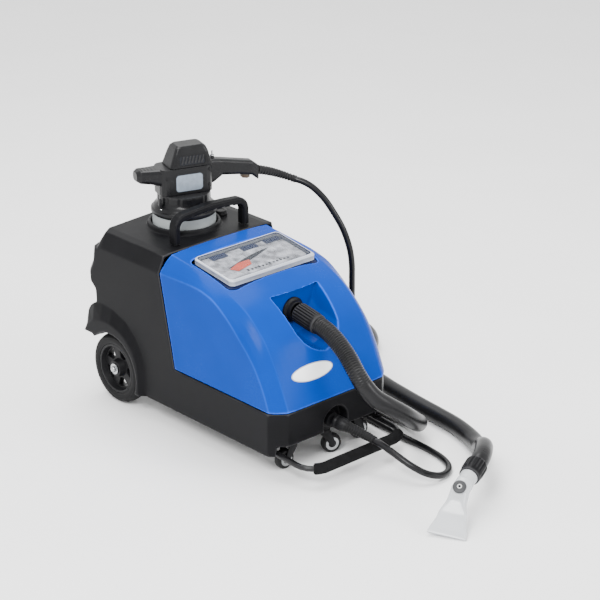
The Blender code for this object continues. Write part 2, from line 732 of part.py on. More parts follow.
def make_wheels():
    axle = [(0, -0.2085), (AXLE_RADIUS, -0.2085), (AXLE_RADIUS, 0.2085), (0, 0.2085)]
    add_part("axle", lathe(axle, 16, (0, AXLE_Y, WHEEL_RADIUS), "X"), "steel")
    middle = (TYRE_IN_X + TYRE_OUT_X) / 2
    half = (TYRE_OUT_X - TYRE_IN_X) / 2
    tread = [(-half, 0.0714), (-half, 0.087), (-half * 0.66, 0.0965), (0, WHEEL_RADIUS)]
    tread += [(half * 0.66, 0.0965), (half, 0.087), (half, 0.0714)]
    hub = [
        (0.0082, -half + 0.002),
        (0.022, -half + 0.002),
        (0.026, -0.010),
        (0.060, -0.010),
        (0.064, -half + 0.002),
    ]
    hub += [(0.0707, -half + 0.002), (0.0707, half - 0.003), (0.064, half - 0.003), (0.060, half - 0.018)]
    hub += [(0.026, half - 0.018), (0.022, half - 0.001), (0.0082, half - 0.001)]
    for name, side in (("left", -1), ("right", 1)):
        place = (side * middle, AXLE_Y, WHEEL_RADIUS)
        tyre = [(radius, side * h) for h, radius in tread]
        add_part("tyre_" + name, lathe(tyre, 34, place, "X", ring=True), "rubber", place)
        rim_profile = [(radius, side * h) for radius, h in hub]
        rim = add_part(
            "rim_" + name,
            lathe(rim_profile, 24, place, "X", ring=True),
            "black_plastic",
            place,
        )
        for k in range(5):
            middle_angle = 72 * k + 40
            window = arc((0, 0), 0.031, middle_angle - 13, middle_angle + 13, 1)
            window += arc((0, 0), 0.056, middle_angle + 22.4, middle_angle - 22.4, 3)
            outline = [(AXLE_Y + a, WHEEL_RADIUS + b) for a, b in window]
            cut(rim, prism(outline, side * 0.15, side * 0.24, "X"))
        nut = [
            (0, 0.2088),
            (0.0155, 0.2088),
            (0.0155, 0.2105),
            (0.0085, 0.2105),
            (0.0085, 0.2155),
            (0.0045, 0.2185),
            (0, 0.2190),
        ]
        nut_profile = [(radius, side * h) for radius, h in nut]
        add_part("hub_nut_" + name, lathe(nut_profile, 18, (0, AXLE_Y, WHEEL_RADIUS), "X"), "steel")


# ---------------------------------------------------------------- casters and lift bar

def make_casters():
    for name, (x, y, degrees) in CASTERS.items():
        pivot = (x, y, CASTER_RADIUS)
        plate = box((x - 0.026, y - 0.015, 0.0815), (x + 0.026, y + 0.030, FLOOR_Z - GAP))
        mount = add_part("caster_mount_" + name, plate, "steel", (x, y, FLOOR_Z))
        boss = [(0, 0.0735), (0.0170, 0.0735), (0.0183, 0.0765), (0.0183, 0.0820), (0, 0.0820)]
        join(mount, lathe(boss, 20, (x, y, 0)))
        head = [(0, 0.0650), (0.019, 0.0650), (0.019, 0.0731), (0, 0.0731)]
        fork = add_part("caster_fork_" + name, lathe(head, 20, (x, y, 0)), "dark_plastic", pivot)
        cheek = [(-0.010, 0.0600), (-0.010, 0.0680), (0.016, 0.0680), (CASTER_TRAIL + 0.008, 0.0270)]
        cheek += [
            (CASTER_TRAIL + 0.004, 0.0200),
            (CASTER_TRAIL - 0.004, 0.0200),
            (CASTER_TRAIL - 0.008, 0.0270),
        ]
        for low in (-0.0165, 0.0135):
            join(fork, turned(prism(cheek, low, low + 0.003, "Y"), (x, y, 0), degrees))
        turn = math.radians(degrees)
        centre = Vector(
            (x + CASTER_TRAIL * math.cos(turn), y + CASTER_TRAIL * math.sin(turn), CASTER_RADIUS),
        )
        wheel = [
            (0, -0.0128),
            (0.006, -0.0128),
            (0.007, -0.0105),
            (0.024, -0.0100),
            (0.0265, -0.0070),
            (CASTER_RADIUS, 0),
        ]
        wheel += [(0.0265, 0.0070), (0.024, 0.0100), (0.007, 0.0105), (0.006, 0.0128), (0, 0.0128)]
        across = (-math.sin(turn), math.cos(turn), 0)
        add_part("caster_wheel_" + name, aimed(lathe(wheel, 24), centre, across), "rubber", centre)


def bar_path():
    """Right half of the U-shaped bar, from the end under the floor to the middle of the front."""
    corner = 0.055
    turn = arc((BAR_HALF_X - corner, BAR_FRONT_Y + corner), corner, 0, -90, 5)
    half = [(BAR_HALF_X, -0.200), (BAR_HALF_X, -0.300)] + turn
    points = []
    for x, y in half:
        share = min(1.0, max(0.0, (-0.300 - y) / (-0.300 - BAR_FRONT_Y)))
        points.append((x, y, BAR_LEG_Z + (BAR_FRONT_Z - BAR_LEG_Z) * share))
    return points


def make_lift_bar():
    half = bar_path()
    path = half + [(-x, y, z) for x, y, z in reversed(half)]
    add_part("lift_bar", sweep(path, circle(BAR_RADIUS, 12), (0, 0, 1)), "bar_steel")
    bore = BAR_RADIUS + GAP
    grip = add_part("bar_grip", sweep(path[5:11], circle(GRIP_RADIUS, 20), (0, 0, 1)), "foam")
    cut(grip, sweep(path[4:12], circle(bore, 12), (0, 0, 1)))
    for name, side in (("left", -1), ("right", 1)):
        x = side * BAR_HALF_X
        clamp = add_part(
            "bar_clamp_" + name,
            box((x - 0.0125, -0.290, 0.0460), (x + 0.0125, -0.250, FLOOR_Z - 0.0012)),
            "dark_plastic",
        )
        hole = bore + 0.0004
        profile = [(0, -0.31), (hole, -0.31), (hole, -0.23), (0, -0.23)]
        cut(clamp, lathe(profile, 16, (x, 0, BAR_LEG_Z), "Y"))


# ---------------------------------------------------------------- deck and rear fittings

def make_deck_fittings():
    path = [(-0.1200, 0.4925), (-0.1200, 0.5350)]
    path += [(x, z) for x, z in reversed(arc((-0.0920, 0.5350), 0.0280, 105, 175, 4))]
    path += [(-0.050, 0.5665), (0.0, 0.5690)]
    whole = path + [(-x, z) for x, z in reversed(path[:-1])]
    section = [(-0.0145, -0.007), (-0.0110, -0.010), (0.0110, -0.010), (0.0145, -0.007)]
    section += [(0.0145, 0.006), (0.0095, 0.010), (-0.0095, 0.010), (-0.0145, 0.006)]
    handle = sweep([(x, HANDLE_Y, z) for x, z in whole], section, (0, 1, 0))
    add_part("carry_handle", handle, "black_plastic")
    cap = [
        (0, 0.4915),
        (0.0182, 0.4915),
        (0.0182, 0.4965),
        (0.0172, 0.4975),
        (0.0164, 0.5045),
        (0, 0.5055),
    ]
    add_part("filler_cap", lathe(cap, 24, (CAP_X, CAP_Y, 0)), "dark_plastic", (CAP_X, CAP_Y, 0.4915))


def make_rear_fittings():
    """Control panel between the fenders, with two rocker switches and the mains inlet."""
    outline = rounded((-0.085, 0.205), (0.085, 0.283), 0.010)
    panel = add_part("rear_panel", prism(outline, 0.4243, 0.4293, "Y"), "dark_plastic")
    cut(panel, box((-0.0605, 0.41, 0.2255), (-0.0395, 0.44, 0.2525)))
    cut(panel, box((-0.0205, 0.41, 0.2255), (0.0005, 0.44, 0.2525)))
    for name, x in (("vacuum", -0.050), ("foam", -0.010)):
        rocker = [
            (-0.0023, -0.0126),
            (0.0040, -0.0126),
            (0.0018, 0.0),
            (0.0040, 0.0126),
            (-0.0023, 0.0126),
        ]
        cosine, sine = math.cos(ROCKER_TILT), math.sin(ROCKER_TILT)
        tilted = [(0.4285 + a * cosine - b * sine, 0.2390 + a * sine + b * cosine) for a, b in rocker]
        add_part("switch_" + name, prism(tilted, x - 0.0098, x + 0.0098, "X"), "red", (x, 0.4285, 0.2390))
    inlet = add_part("mains_inlet", box((0.028, 0.4296, 0.2225), (0.062, 0.4375, 0.2555)), "black_plastic")
    cut(inlet, box((0.032, 0.4325, 0.2265), (0.058, 0.45, 0.2515)))


def make_port():
    """Suction port in the hood's recess and the ribbed cuff of the hose."""
    port = [(0.0215, -0.135), (0.0262, -0.135), (0.0262, PORT_WALL_Y - GAP), (0.034, PORT_WALL_Y - GAP)]
    port += [(0.034, -0.182), (0.0262, -0.184), (0.0262, -0.1965), (0.0215, -0.1965)]
    add_part("hose_port", lathe(port, 28, (0, 0, PORT_Z), "Y", ring=True), "dark_plastic")
    start = Vector((0, -0.2005, 0.3725))
    end = Vector(HOSE_START[0])
    length = (end - start).length - GAP
    cuff = [
        (0.016, 0),
        (0.0228, 0),
        (0.0280, 0.006),
        (0.0280, length - 0.020),
        (0.0252, length),
        (0.016, length),
    ]
    add_part("port_cuff", aimed(lathe(cuff, 24, ring=True), start, end - start), "black_plastic")


def make_connector():
    """Connector in the front pocket and the ribbed relief of the cable."""
    aim = Vector(CABLE_ROUTE[1]) - Vector(CABLE_ROUTE[0])
    socket = [(0, SOCKET_WALL_Y - GAP), (0.0255, SOCKET_WALL_Y - GAP), (0.0255, -0.3170)]
    socket += [(0.0200, -0.3200), (0.0200, -0.3335), (0, -0.3335)]
    add_part("connector_socket", lathe(socket, 24, (0, 0, SOCKET_Z), "Y"), "dark_plastic")
    start = Vector((0.0015, -0.3400, 0.1080))
    along = Vector((0.008, -0.034, -0.006))
    plug = [(0, 0), (0.0185, 0), (0.0195, 0.003), (0.0195, 0.026), (0.015, 0.0345), (0, 0.0345)]
    plug_part = aimed(lathe(plug, 22), start, along)
    add_part("connector_plug", plug_part, "dark_plastic")
    first = start + along.normalized() * 0.0348
    last = Vector(CABLE_ROUTE[0]) - aim.normalized() * GAP
    add_part("front_relief", relief(first, along, last, aim, 0.0155, 0.0112), "rubber")


def relief(first, leaving, last, arriving, wide, narrow):
    """A bent, tapering strain relief with blunt ends."""
    reach = (last - first).length / 3
    corners = [first, first + leaving.normalized() * reach, last - arriving.normalized() * reach, last]
    rings = []
    for k in range(7):
        t = k / 6
        a, b, c, d = corners
        point = a * (1 - t) ** 3 + b * 3 * t * (1 - t) ** 2 + c * 3 * t * t * (1 - t) + d * t ** 3
        along = (b - a) * (1 - t) ** 2 + (c - b) * 2 * t * (1 - t) + (d - c) * t * t
        turn = along.to_track_quat("Z", "Y")
        radius = wide + (narrow - wide) * t
        rings.append([point + turn @ Vector((x, y, 0)) for x, y in circle(radius, 12)])
    return loft(rings)


# ---------------------------------------------------------------- brush tool

def make_tool():
    frame = bpy.data.objects.new("tool_frame", None)
    frame.location = (0, DOCK_Y, 0)
    frame.rotation_euler = (0, 0, TOOL_YAW)
    bpy.context.scene.collection.objects.link(frame)
    make_brush(frame)
    make_tool_body(frame)
    make_tool_controls(frame)


def make_brush(frame):
    bristles = [
        (0.050, DOCK_FLOOR_Z + GAP),
        (BRISTLE_RADIUS - 0.003, DOCK_FLOOR_Z + GAP),
        (BRISTLE_RADIUS, 0.500),
    ]
    bristles += [(BRISTLE_RADIUS - 0.002, 0.5285), (0.053, 0.5285)]
    add_part("bristle_ring", lathe(bristles, 30, ring=True), "bristle", (0, 0, 0.50), frame)
    plate = [
        (0, 0.5288),
        (0.0865, 0.5288),
        (0.0875, 0.5335),
        (0.0865, 0.5375),
        (0.014, 0.5375),
        (0.014, 0.5480),
        (0, 0.5480),
    ]
    add_part("brush_plate", lathe(plate, 30), "dark_plastic", (0, 0, 0.53), frame)
    rotor = [
        (0, 0.5510),
        (0.006, 0.5510),
        (0.006, 0.5800),
        (0.028, 0.5820),
        (0.028, 0.6400),
        (0.006, 0.6420),
        (0.006, 0.6700),
        (0, 0.6700),
    ]
    add_part("armature", lathe(rotor, 16), "copper", (0, 0, 0.60), frame)


def make_tool_body(frame):
    """Motor column with flared collar, head with nose and handle, and vented cap."""
    column = [
        (0.0150, 0.5382),
        (0.0890, 0.5382),
        (0.0895, 0.5440),
        (0.0800, 0.5560),
        (COLUMN_RADIUS, 0.5640),
    ]
    column += [
        (COLUMN_RADIUS - 0.001, HEAD_LOW_Z - GAP),
        (0.0320, HEAD_LOW_Z - GAP),
        (0.0320, 0.5500),
        (0.0150, 0.5500),
    ]
    add_part("tool_column", lathe(column, 30, ring=True), "black_plastic", (0, 0, 0), frame)
    head = add_part(
        "tool_head",
        prism(rounded((-0.076, -0.040), (0.074, 0.040), 0.022), HEAD_LOW_Z, HEAD_TOP_Z, "Z"),
        "black_plastic",
        (0, 0, 0),
        frame,
    )
    nose = tool_loft([
        (-0.070, 0.030, 0.613, 0.662, 0.010),
        (-0.100, 0.026, 0.622, 0.6625, 0.010),
        (-0.128, 0.023, 0.627, 0.6640, 0.010),
        (-0.1390, 0.016, 0.634, 0.6590, 0.009),
    ])
    grip = tool_loft([
        (0.0727, 0.020, 0.599, 0.6690, 0.009),
        (0.083, 0.019, 0.6020, 0.6680, 0.008),
        (0.108, 0.018, 0.6180, 0.6640, 0.008),
        (0.160, 0.018, 0.6120, 0.6540, 0.008),
        (0.196, 0.018, 0.6050, 0.6470, 0.008),
        (0.2145, 0.016, 0.5900, 0.6330, 0.007),
    ])
    head_room = lathe(
        [(0, 0.50), (0.0320, 0.50), (0.0320, 0.645), (0.008, 0.645), (0.008, 0.68), (0, 0.68)],
        24,
    )
    nut = lathe(
        [(0, 0.6613), (0.0060, 0.6613), (0.0060, 0.6720), (0.0050, 0.6735), (0, 0.6735)],
        12,
        (0.084, 0, 0),
    )
    nut_hole = lathe(
        [(0, 0.6663), (0.0034, 0.6663), (0.0034, 0.6800), (0, 0.6800)],
        10,
        (0.084, 0.0001, 0),
    )
    trigger_slot = box((0.1655, -0.0060, 0.5900), (0.1945, 0.0060, 0.6190))
    join_in(frame, head, nose, grip, nut)
    cut_in(frame, head, head_room, nut_hole, trigger_slot)
    cap_rings = []
    rows = [
        (HEAD_TOP_Z + GAP, -0.050, 0.072, 0.0380),
        (0.700, -0.036, 0.063, 0.0335),
        (0.714, -0.030, 0.057, 0.0300),
        (CAP_TOP_Z, -0.023, 0.049, 0.0240),
    ]
    for z, front, back, half in rows:
        cap_rings.append([(a, b, z) for a, b in rounded((front, -half), (back, half), 0.010)])
    cap = add_part("tool_cap", loft(cap_rings), "black_plastic", (0, 0, 0), frame)
    cut_in(frame, cap, prism(rounded((-0.034, -0.0295), (0.057, 0.0295), 0.006), 0.655, 0.698, "Z"))
    plate = prism(rounded((-0.037, 0.598), (0.040, 0.645), 0.009), -0.0415, -0.0403, "Y")
    add_part("label_plate", plate, "label", (0, 0, 0), frame)


def tool_loft(rows):
    """A solid along U through (u, half width, low z, high z, corner radius) sections."""
    rings = []
    for u, half, low, high, radius in rows:
        rings.append([(u, a, b) for a, b in rounded((-half, low), (half, high), radius, 2)])
    return loft(rings)


def parented_helper(frame, obj, shape, operation):
    helper = add_helper(obj.name + "_" + operation.lower() + "_" + str(len(obj.modifiers)), shape)
    helper.parent = frame
    boolean(obj, helper, operation)


def join_in(frame, obj, *shapes):
    for shape in shapes:
        parented_helper(frame, obj, shape, "UNION")


def cut_in(frame, obj, *shapes):
    for shape in shapes:
        parented_helper(frame, obj, shape, "DIFFERENCE")


def make_tool_controls(frame):
    """Trigger, toggle switch and the ribbed relief at the end of the handle."""
    blade = [(0.1668, 0.6140), (0.1668, 0.6030), (0.1710, 0.5985), (0.1850, 0.5955), (0.1925, 0.5985)]
    blade += [(0.1925, 0.6085), (0.1740, 0.6140)]
    add_part("trigger", prism(blade, -0.0052, 0.0052, "Y"), "grey_plastic", (0.1700, 0, 0.6120), frame)
    pin = [(0, 0.6697), (0.0018, 0.6697), (0.0024, 0.6850), (0.0020, 0.6885), (0, 0.6890)]
    add_part("toggle", lathe(pin, 12, (0.084, 0, 0)), "steel", (0.084, 0, 0.6720), frame)
    start = frame_to_world(frame, (0.2182, 0, 0.6142))
    along = frame_to_world(frame, (0.2582, 0, 0.6050)) - start
    route = [Vector(point) for point in CABLE_ROUTE]
    last = route[-1] - (route[-2] - route[-1]).normalized() * GAP
    shape = relief(start, along, last, route[-2] - route[-1], 0.0132, 0.0106)
    add_part("tool_relief", shape, "rubber")


def frame_to_world(frame, point):
    return Matrix.Rotation(TOOL_YAW, 3, "Z") @ Vector(point) + Vector(frame.location)


# ---------------------------------------------------------------- hose, nozzle and cable

def hose_route():
    """The hose's way down to the floor, round the turn behind the machine and out to the nozzle."""
    route = list(HOSE_START)
    for x, y, radius, start, end in (HOSE_TURN, HOSE_RETURN):
        steps = round(abs(end - start) / 20)
        turn = arc((x, y), radius, start, end, steps)
        route += [(a, b, 0.0245) for a, b in turn[:-1]]
    return route + HOSE_END


def nozzle_ring(centre, across, normal, half, thick):
    """A rounded section of the nozzle, its width along across and its depth along normal."""
    outline = rounded((-half, -thick), (half, thick), min(half, thick) * 0.9, 3)
    return [centre + across * a + normal * b for a, b in outline]


def nozzle_rings(stations, wall, overrun):
    """Sections of the nozzle from the collar to the slot, shrunk by the wall and run on past both ends."""
    rings = []
    for centre, across, normal, half, thick in stations:
        rings.append(nozzle_ring(centre, across, normal, half - wall, thick - wall))
    first = (stations[0][0] - stations[1][0]).normalized() * overrun
    last = (stations[-1][0] - stations[-2][0]).normalized() * overrun
    rings[0] = [point + first for point in rings[0]]
    rings[-1] = [point + last for point in rings[-1]]
    return rings


def make_hose_end():
    """Ribbed cuff, clear collar, fan-shaped clear nozzle and its air-bleed disc."""
    end = Vector(HOSE_END[-1])
    along = (NOZZLE_HEAD - end).normalized()
    start = end + along * GAP
    cuff = [
        (0.014, 0),
        (0.0250, 0),
        (0.0290, 0.006),
        (0.0290, 0.046),
        (0.0262, 0.055),
        (0.014, 0.055),
    ]
    add_part("hose_cuff", aimed(lathe(cuff, 24, ring=True), start, along), "black_plastic")
    collar = [(0.0150, 0), (0.0225, 0), (0.0225, 0.030), (0.0150, 0.030)]
    collar_shape = aimed(lathe(collar, 24, ring=True), start + along * 0.0553, along)
    add_part("nozzle_collar", collar_shape, "clear_plastic")
    slot = (NOZZLE_TIP_A + NOZZLE_TIP_B) / 2
    down = (slot - NOZZLE_HEAD).normalized()
    reach = (slot - NOZZLE_HEAD).length
    across = (NOZZLE_TIP_B - NOZZLE_TIP_A).normalized()
    across = (across - down * across.dot(down)).normalized()
    normal = across.cross(down).normalized()
    side = (across - along * across.dot(along)).normalized()
    stations = [(start + along * 0.0856, side, side.cross(along), 0.0225, 0.0222)]
    for share, half, thick in NOZZLE_ROWS:
        stations.append((NOZZLE_HEAD + down * (reach * share), across, normal, half, thick))
    nozzle = add_part("nozzle_body", loft(nozzle_rings(stations, 0.0, 0.0)), "clear_plastic")
    cut(nozzle, loft(nozzle_rings(stations, 0.002, 0.006)))
    outward = -normal
    face = NOZZLE_HEAD + down * 0.004 + outward * 0.0217
    disc = [(0, 0), (0.0165, 0), (0.0175, 0.002), (0.0165, 0.005), (0.0, 0.006)]
    add_part("nozzle_disc", aimed(lathe(disc, 22), face, outward), "grey_plastic", face)


def make_cords():
    add_cord("vacuum_hose", hose_route(), HOSE_POINTS, HOSE_RADIUS, 2, "hose")
    add_cord("foam_cable", CABLE_ROUTE, CABLE_POINTS, CABLE_RADIUS, 2, "hose")


def main():
    clear_scene()
    make_chassis()
    make_hood()
    make_lid()
    make_internals()
    make_wheels()
    make_casters()
    make_lift_bar()
    make_deck_fittings()
    make_rear_fittings()
    make_port()
    make_connector()
    make_tool()
    make_hose_end()
    make_cords()


main()
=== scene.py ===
"""Looks of the carpet and upholstery cleaner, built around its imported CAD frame.

Metres, +Z up. The machine stands on z = 0 and its front faces -Y. The brush tool has its own axes:
U along its handle, V across it.
"""

import json
import math

import bmesh
import bpy
from mathutils import Matrix, Vector
from mathutils import noise

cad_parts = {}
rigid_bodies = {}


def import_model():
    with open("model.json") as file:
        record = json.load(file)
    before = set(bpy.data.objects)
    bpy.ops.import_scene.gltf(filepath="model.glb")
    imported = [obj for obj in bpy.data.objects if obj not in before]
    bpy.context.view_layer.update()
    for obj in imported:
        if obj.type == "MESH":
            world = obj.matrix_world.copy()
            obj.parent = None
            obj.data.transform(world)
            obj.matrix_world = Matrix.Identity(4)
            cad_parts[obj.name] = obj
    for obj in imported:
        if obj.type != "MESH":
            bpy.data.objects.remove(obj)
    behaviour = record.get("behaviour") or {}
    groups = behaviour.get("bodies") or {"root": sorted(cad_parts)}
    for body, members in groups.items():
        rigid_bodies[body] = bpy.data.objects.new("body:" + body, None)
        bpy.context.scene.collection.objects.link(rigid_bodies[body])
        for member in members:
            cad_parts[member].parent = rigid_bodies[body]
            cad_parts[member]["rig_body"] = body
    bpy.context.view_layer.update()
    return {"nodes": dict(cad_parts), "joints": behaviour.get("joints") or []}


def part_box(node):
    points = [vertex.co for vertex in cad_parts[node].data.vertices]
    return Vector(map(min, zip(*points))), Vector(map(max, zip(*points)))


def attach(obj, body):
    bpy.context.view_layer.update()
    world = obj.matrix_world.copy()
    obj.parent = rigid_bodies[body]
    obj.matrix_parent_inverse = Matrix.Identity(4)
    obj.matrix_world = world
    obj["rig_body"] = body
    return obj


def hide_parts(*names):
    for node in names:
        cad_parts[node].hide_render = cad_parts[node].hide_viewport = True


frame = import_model()

# Camera
CAMERA_AZIMUTH = math.radians(-42.5)
CAMERA_ELEVATION = math.radians(22.6)
CAMERA_DISTANCE = 5.772
CAMERA_LENS = 132.22
CAMERA_TARGET = Vector((0.0387, -0.164, 0.3838))

# Gap between pieces that meet
FACE_GAP = 0.0003

# Cords
HOSE_DIAMETER = 0.048
HOSE_FLOOR_Z = 0.0245
CABLE_DIAMETER = 0.018
CORRUGATED_LENGTH = 0.215
CORRUGATION_PITCH = 0.0062
RIDGE_DEPTH = 0.0027
WINDING_DEPTH = 0.00016
WINDING_PITCH = 0.009

# Brush tool
DOCK_Y = 0.259
TOOL_FRAME = Matrix.Translation((0, DOCK_Y, 0)) @ Matrix.Rotation(math.radians(-18.0), 4, "Z")
CAP_BASE_Z = 0.6623
CAP_HALF_WIDTH = 0.038
CAP_SIDE_SLOPE = 0.0045 / 0.0377

# Wheels, handle and bar
AXLE_Y = 0.32
WHEEL_RADIUS = 0.1
ARCH_RADIUS = 0.107
HANDLE_Y = 0.1535
BAR_FRONT_Y = -0.434
BAR_FRONT_Z = 0.05
BAR_BEND = 0.055
GRIP_RADIUS = 0.015

# Hood and badge
HOOD_WALL = 0.0045
RECESS_WALL = 0.0062
BADGE_X = -0.06
BADGE_Z = 0.261

# Lid
LID_REAR_Y = 0.046
LID_TOP_Z = 0.4905
LID_SLOPE = 0.145

HOSE_START = [
    (0.0, -0.2775, 0.3595), (0.0, -0.29, 0.3574), (0.0005, -0.315, 0.35),
    (0.0008, -0.3474, 0.3335), (0.0005, -0.385, 0.307), (-0.002, -0.419, 0.275),
    (0.0075, -0.441, 0.2395), (0.029, -0.4586, 0.2055), (0.064, -0.4725, 0.1765),
    (0.115, -0.48, 0.1384), (0.168, -0.4665, 0.098), (0.219, -0.43, 0.063),
    (0.252, -0.38, 0.04), (0.27, -0.325, 0.0295), (0.277, -0.265, 0.0255),
    (0.2785, -0.21, 0.0295), (0.277, -0.16, 0.04), (0.2745, -0.108, 0.0452),
    (0.2725, -0.05, 0.038), (0.2708, 0.02, 0.0264), (0.27, 0.1, 0.0245),
]
HOSE_TURN = (0.442, 0.226, 0.172, 180.0, -68.7)
HOSE_RETURN = (0.569, -0.104, 0.182, 111.3, 170.0)
HOSE_END = [
    (0.379, -0.148, 0.0245), (0.3665, -0.225, 0.0245), (0.356, -0.302, 0.0245),
    (0.348, -0.374, 0.0245), (0.339, -0.445, 0.0245), (0.326, -0.497, 0.0248),
    (0.3067, -0.547, 0.0264), (0.2786, -0.592, 0.033), (0.2452, -0.6285, 0.0508),
    (0.216, -0.6624, 0.0805), (0.1831, -0.6986, 0.1021), (0.143, -0.7328, 0.1113),
    (0.1145, -0.751, 0.1107), (0.0962, -0.758, 0.1066),
]
CABLE_ROUTE = [
    (0.0305, -0.4586, 0.0838), (0.0341, -0.4877, 0.0775), (0.0385, -0.528, 0.0655),
    (0.049, -0.571, 0.0482), (0.0712, -0.6031, 0.03), (0.1054, -0.6171, 0.0168),
    (0.144, -0.61, 0.0108), (0.1748, -0.585, 0.0094), (0.1947, -0.5417, 0.0094),
    (0.2041, -0.4849, 0.0094), (0.2066, -0.425, 0.0094), (0.2097, -0.3688, 0.0094),
    (0.215, -0.315, 0.0094), (0.22, -0.26, 0.0094), (0.226, -0.21, 0.0094),
    (0.239, -0.16, 0.0094), (0.264, -0.116, 0.0094), (0.299, -0.08, 0.0094),
    (0.337, -0.048, 0.0116), (0.368, -0.02, 0.026), (0.39, 0.003, 0.068),
    (0.402, 0.0165, 0.133), (0.408, 0.0235, 0.21), (0.4103, 0.0261, 0.285),
    (0.4095, 0.027, 0.335), (0.4052, 0.0335, 0.382), (0.3937, 0.0499, 0.437),
    (0.3742, 0.0777, 0.494), (0.361, 0.0966, 0.524), (0.345, 0.119, 0.549),
    (0.331, 0.1395, 0.562), (0.318, 0.158, 0.5685),
]


# ---- shapes

def loft(rings, around=False):
    """Faces over rings of equally many points. Ends are capped unless the rings close on themselves."""
    count = len(rings[0])
    points = [Vector(p) for ring in rings for p in ring]
    faces = []
    rows = len(rings) if around else len(rings) - 1
    for i in range(rows):
        for j in range(count):
            a = i * count + j
            b = i * count + (j + 1) % count
            c = ((i + 1) % len(rings)) * count + (j + 1) % count
            d = ((i + 1) % len(rings)) * count + j
            faces.append((a, b, c, d))
    if not around:
        faces.append(tuple(reversed(range(count))))
        faces.append(tuple(range((len(rings) - 1) * count, len(rings) * count)))
    return points, faces


def lathe(profile, steps=64, ripple=None):
    """A closed (radius, height) profile turned about Z. ripple(angle, radius, height) gives the radius."""
    rings = []
    for k in range(steps):
        angle = 2 * math.pi * k / steps
        ring = []
        for radius, height in profile:
            out = ripple(angle, radius, height) if ripple else radius
            ring.append((out * math.cos(angle), out * math.sin(angle), height))
        rings.append(ring)
    return loft(rings, around=True)


def moved(shape, matrix):
    points, faces = shape
    return [matrix @ Vector(p) for p in points], faces


def shifted(shape, x, y, z):
    return moved(shape, Matrix.Translation((x, y, z)))


def aimed(shape, origin, direction):
    """The shape with its Z along direction and its origin at origin."""
    return moved(shape, aim(origin, direction))


def merged(*shapes):
    points = []
    faces = []
    for more_points, more_faces in shapes:
        start = len(points)
        points += list(more_points)
        faces += [tuple(i + start for i in face) for face in more_faces]
    return points, faces


def aim(origin, direction):
    """The matrix that takes Z to direction, at origin."""
    turn = Vector(direction).to_track_quat("Z", "Y").to_matrix().to_4x4()
    return Matrix.Translation(Vector(origin)) @ turn


def arc(centre, radius, start, end, steps):
    points = []
    for k in range(steps + 1):
        angle = math.radians(start + (end - start) * k / steps)
        points.append((centre[0] + radius * math.cos(angle), centre[1] + radius * math.sin(angle)))
    return points


def rounded(low, high, radius, steps=5):
    """A rectangle with round corners."""
    points = []
    corners = (
        (high[0] - radius, high[1] - radius, 0),
        (low[0] + radius, high[1] - radius, 90),
        (low[0] + radius, low[1] + radius, 180),
        (high[0] - radius, low[1] + radius, 270),
    )
    for x, y, start in corners:
        points += arc((x, y), radius, start, start + 90, steps)
    return points


def prism(outline, low, high):
    """An (x, z) outline pushed along Y."""
    return loft([[(x, y, z) for x, z in outline] for y in (low, high)])


def smooth_line(route, per_span):
    """A Catmull-Rom curve through the route's points."""
    route = [Vector(point) for point in route]
    ends = [route[0] * 2 - route[1]] + route + [route[-1] * 2 - route[-2]]
    line = []
    for i in range(1, len(ends) - 2):
        before, start, end, after = ends[i - 1], ends[i], ends[i + 1], ends[i + 2]
        for k in range(per_span):
            t = k / per_span
            line.append(
                0.5 * (
                    2 * start
                    + (end - before) * t
                    + (2 * before - 5 * start + 4 * end - after) * t * t
                    + (3 * start - before - 3 * end + after) * t ** 3
                )
            )
    line.append(route[-1])
    return line


def lengths_of(line):
    lengths = [0.0]
    for a, b in zip(line, line[1:]):
        lengths.append(lengths[-1] + (b - a).length)
    return lengths


def at_lengths(line, places):
    """Points of a line at the given distances from its start."""
    lengths = lengths_of(line)
    points = []
    k = 0
    for place in places:
        while k < len(line) - 2 and lengths[k + 1] < place:
            k += 1
        step = max(lengths[k + 1] - lengths[k], 1e-9)
        points.append(line[k].lerp(line[k + 1], min(1.0, (place - lengths[k]) / step)))
    return points


def tube(line, radius_at, sides=24):
    """A tube along a dense line. radius_at gives the radius at each distance from the start."""
    lengths = lengths_of(line)
    rings = []
    side = None
    for i, point in enumerate(line):
        along = (line[min(i + 1, len(line) - 1)] - line[max(i - 1, 0)]).normalized()
        if side is None:
            side = along.orthogonal().normalized()
        side = (side - along * side.dot(along)).normalized()
        up = along.cross(side)
        radius = radius_at(lengths[i])
        ring = []
        for k in range(sides):
            angle = 2 * math.pi * k / sides
            ring.append(point + side * (radius * math.cos(angle)) + up * (radius * math.sin(angle)))
        rings.append(ring)
    return loft(rings)


# ---- objects

def new_object(name, shape):
    """A mesh object of the shape, with every face turned outwards."""
    points, faces = shape
    mesh = bpy.data.meshes.new(name)
    mesh.from_pydata([tuple(p) for p in points], [], faces)
    mesh.update()
    obj = bpy.data.objects.new(name, mesh)
    bpy.context.scene.collection.objects.link(obj)
    turned = bmesh.new()
    turned.from_mesh(mesh)
    bmesh.ops.recalc_face_normals(turned, faces=turned.faces)
    turned.to_mesh(mesh)
    turned.free()
    return obj


def cad_shape(node):
    """The node's solid with its corners welded and its flat faces whole again."""
    shape = bmesh.new()
    shape.from_mesh(frame["nodes"][node].data)
    bmesh.ops.remove_doubles(shape, verts=shape.verts, dist=1e-5)
    bmesh.ops.dissolve_limit(
        shape, angle_limit=math.radians(0.8), verts=shape.verts, edges=shape.edges
    )
    shape.verts.ensure_lookup_table()
    points = [v.co.copy() for v in shape.verts]
    faces = [tuple(v.index for v in f.verts) for f in shape.faces]
    shape.free()
    return points, faces


def apply_modifiers(obj):
    graph = bpy.context.evaluated_depsgraph_get()
    mesh = bpy.data.meshes.new_from_object(obj.evaluated_get(graph))
    obj.modifiers.clear()
    obj.data = mesh


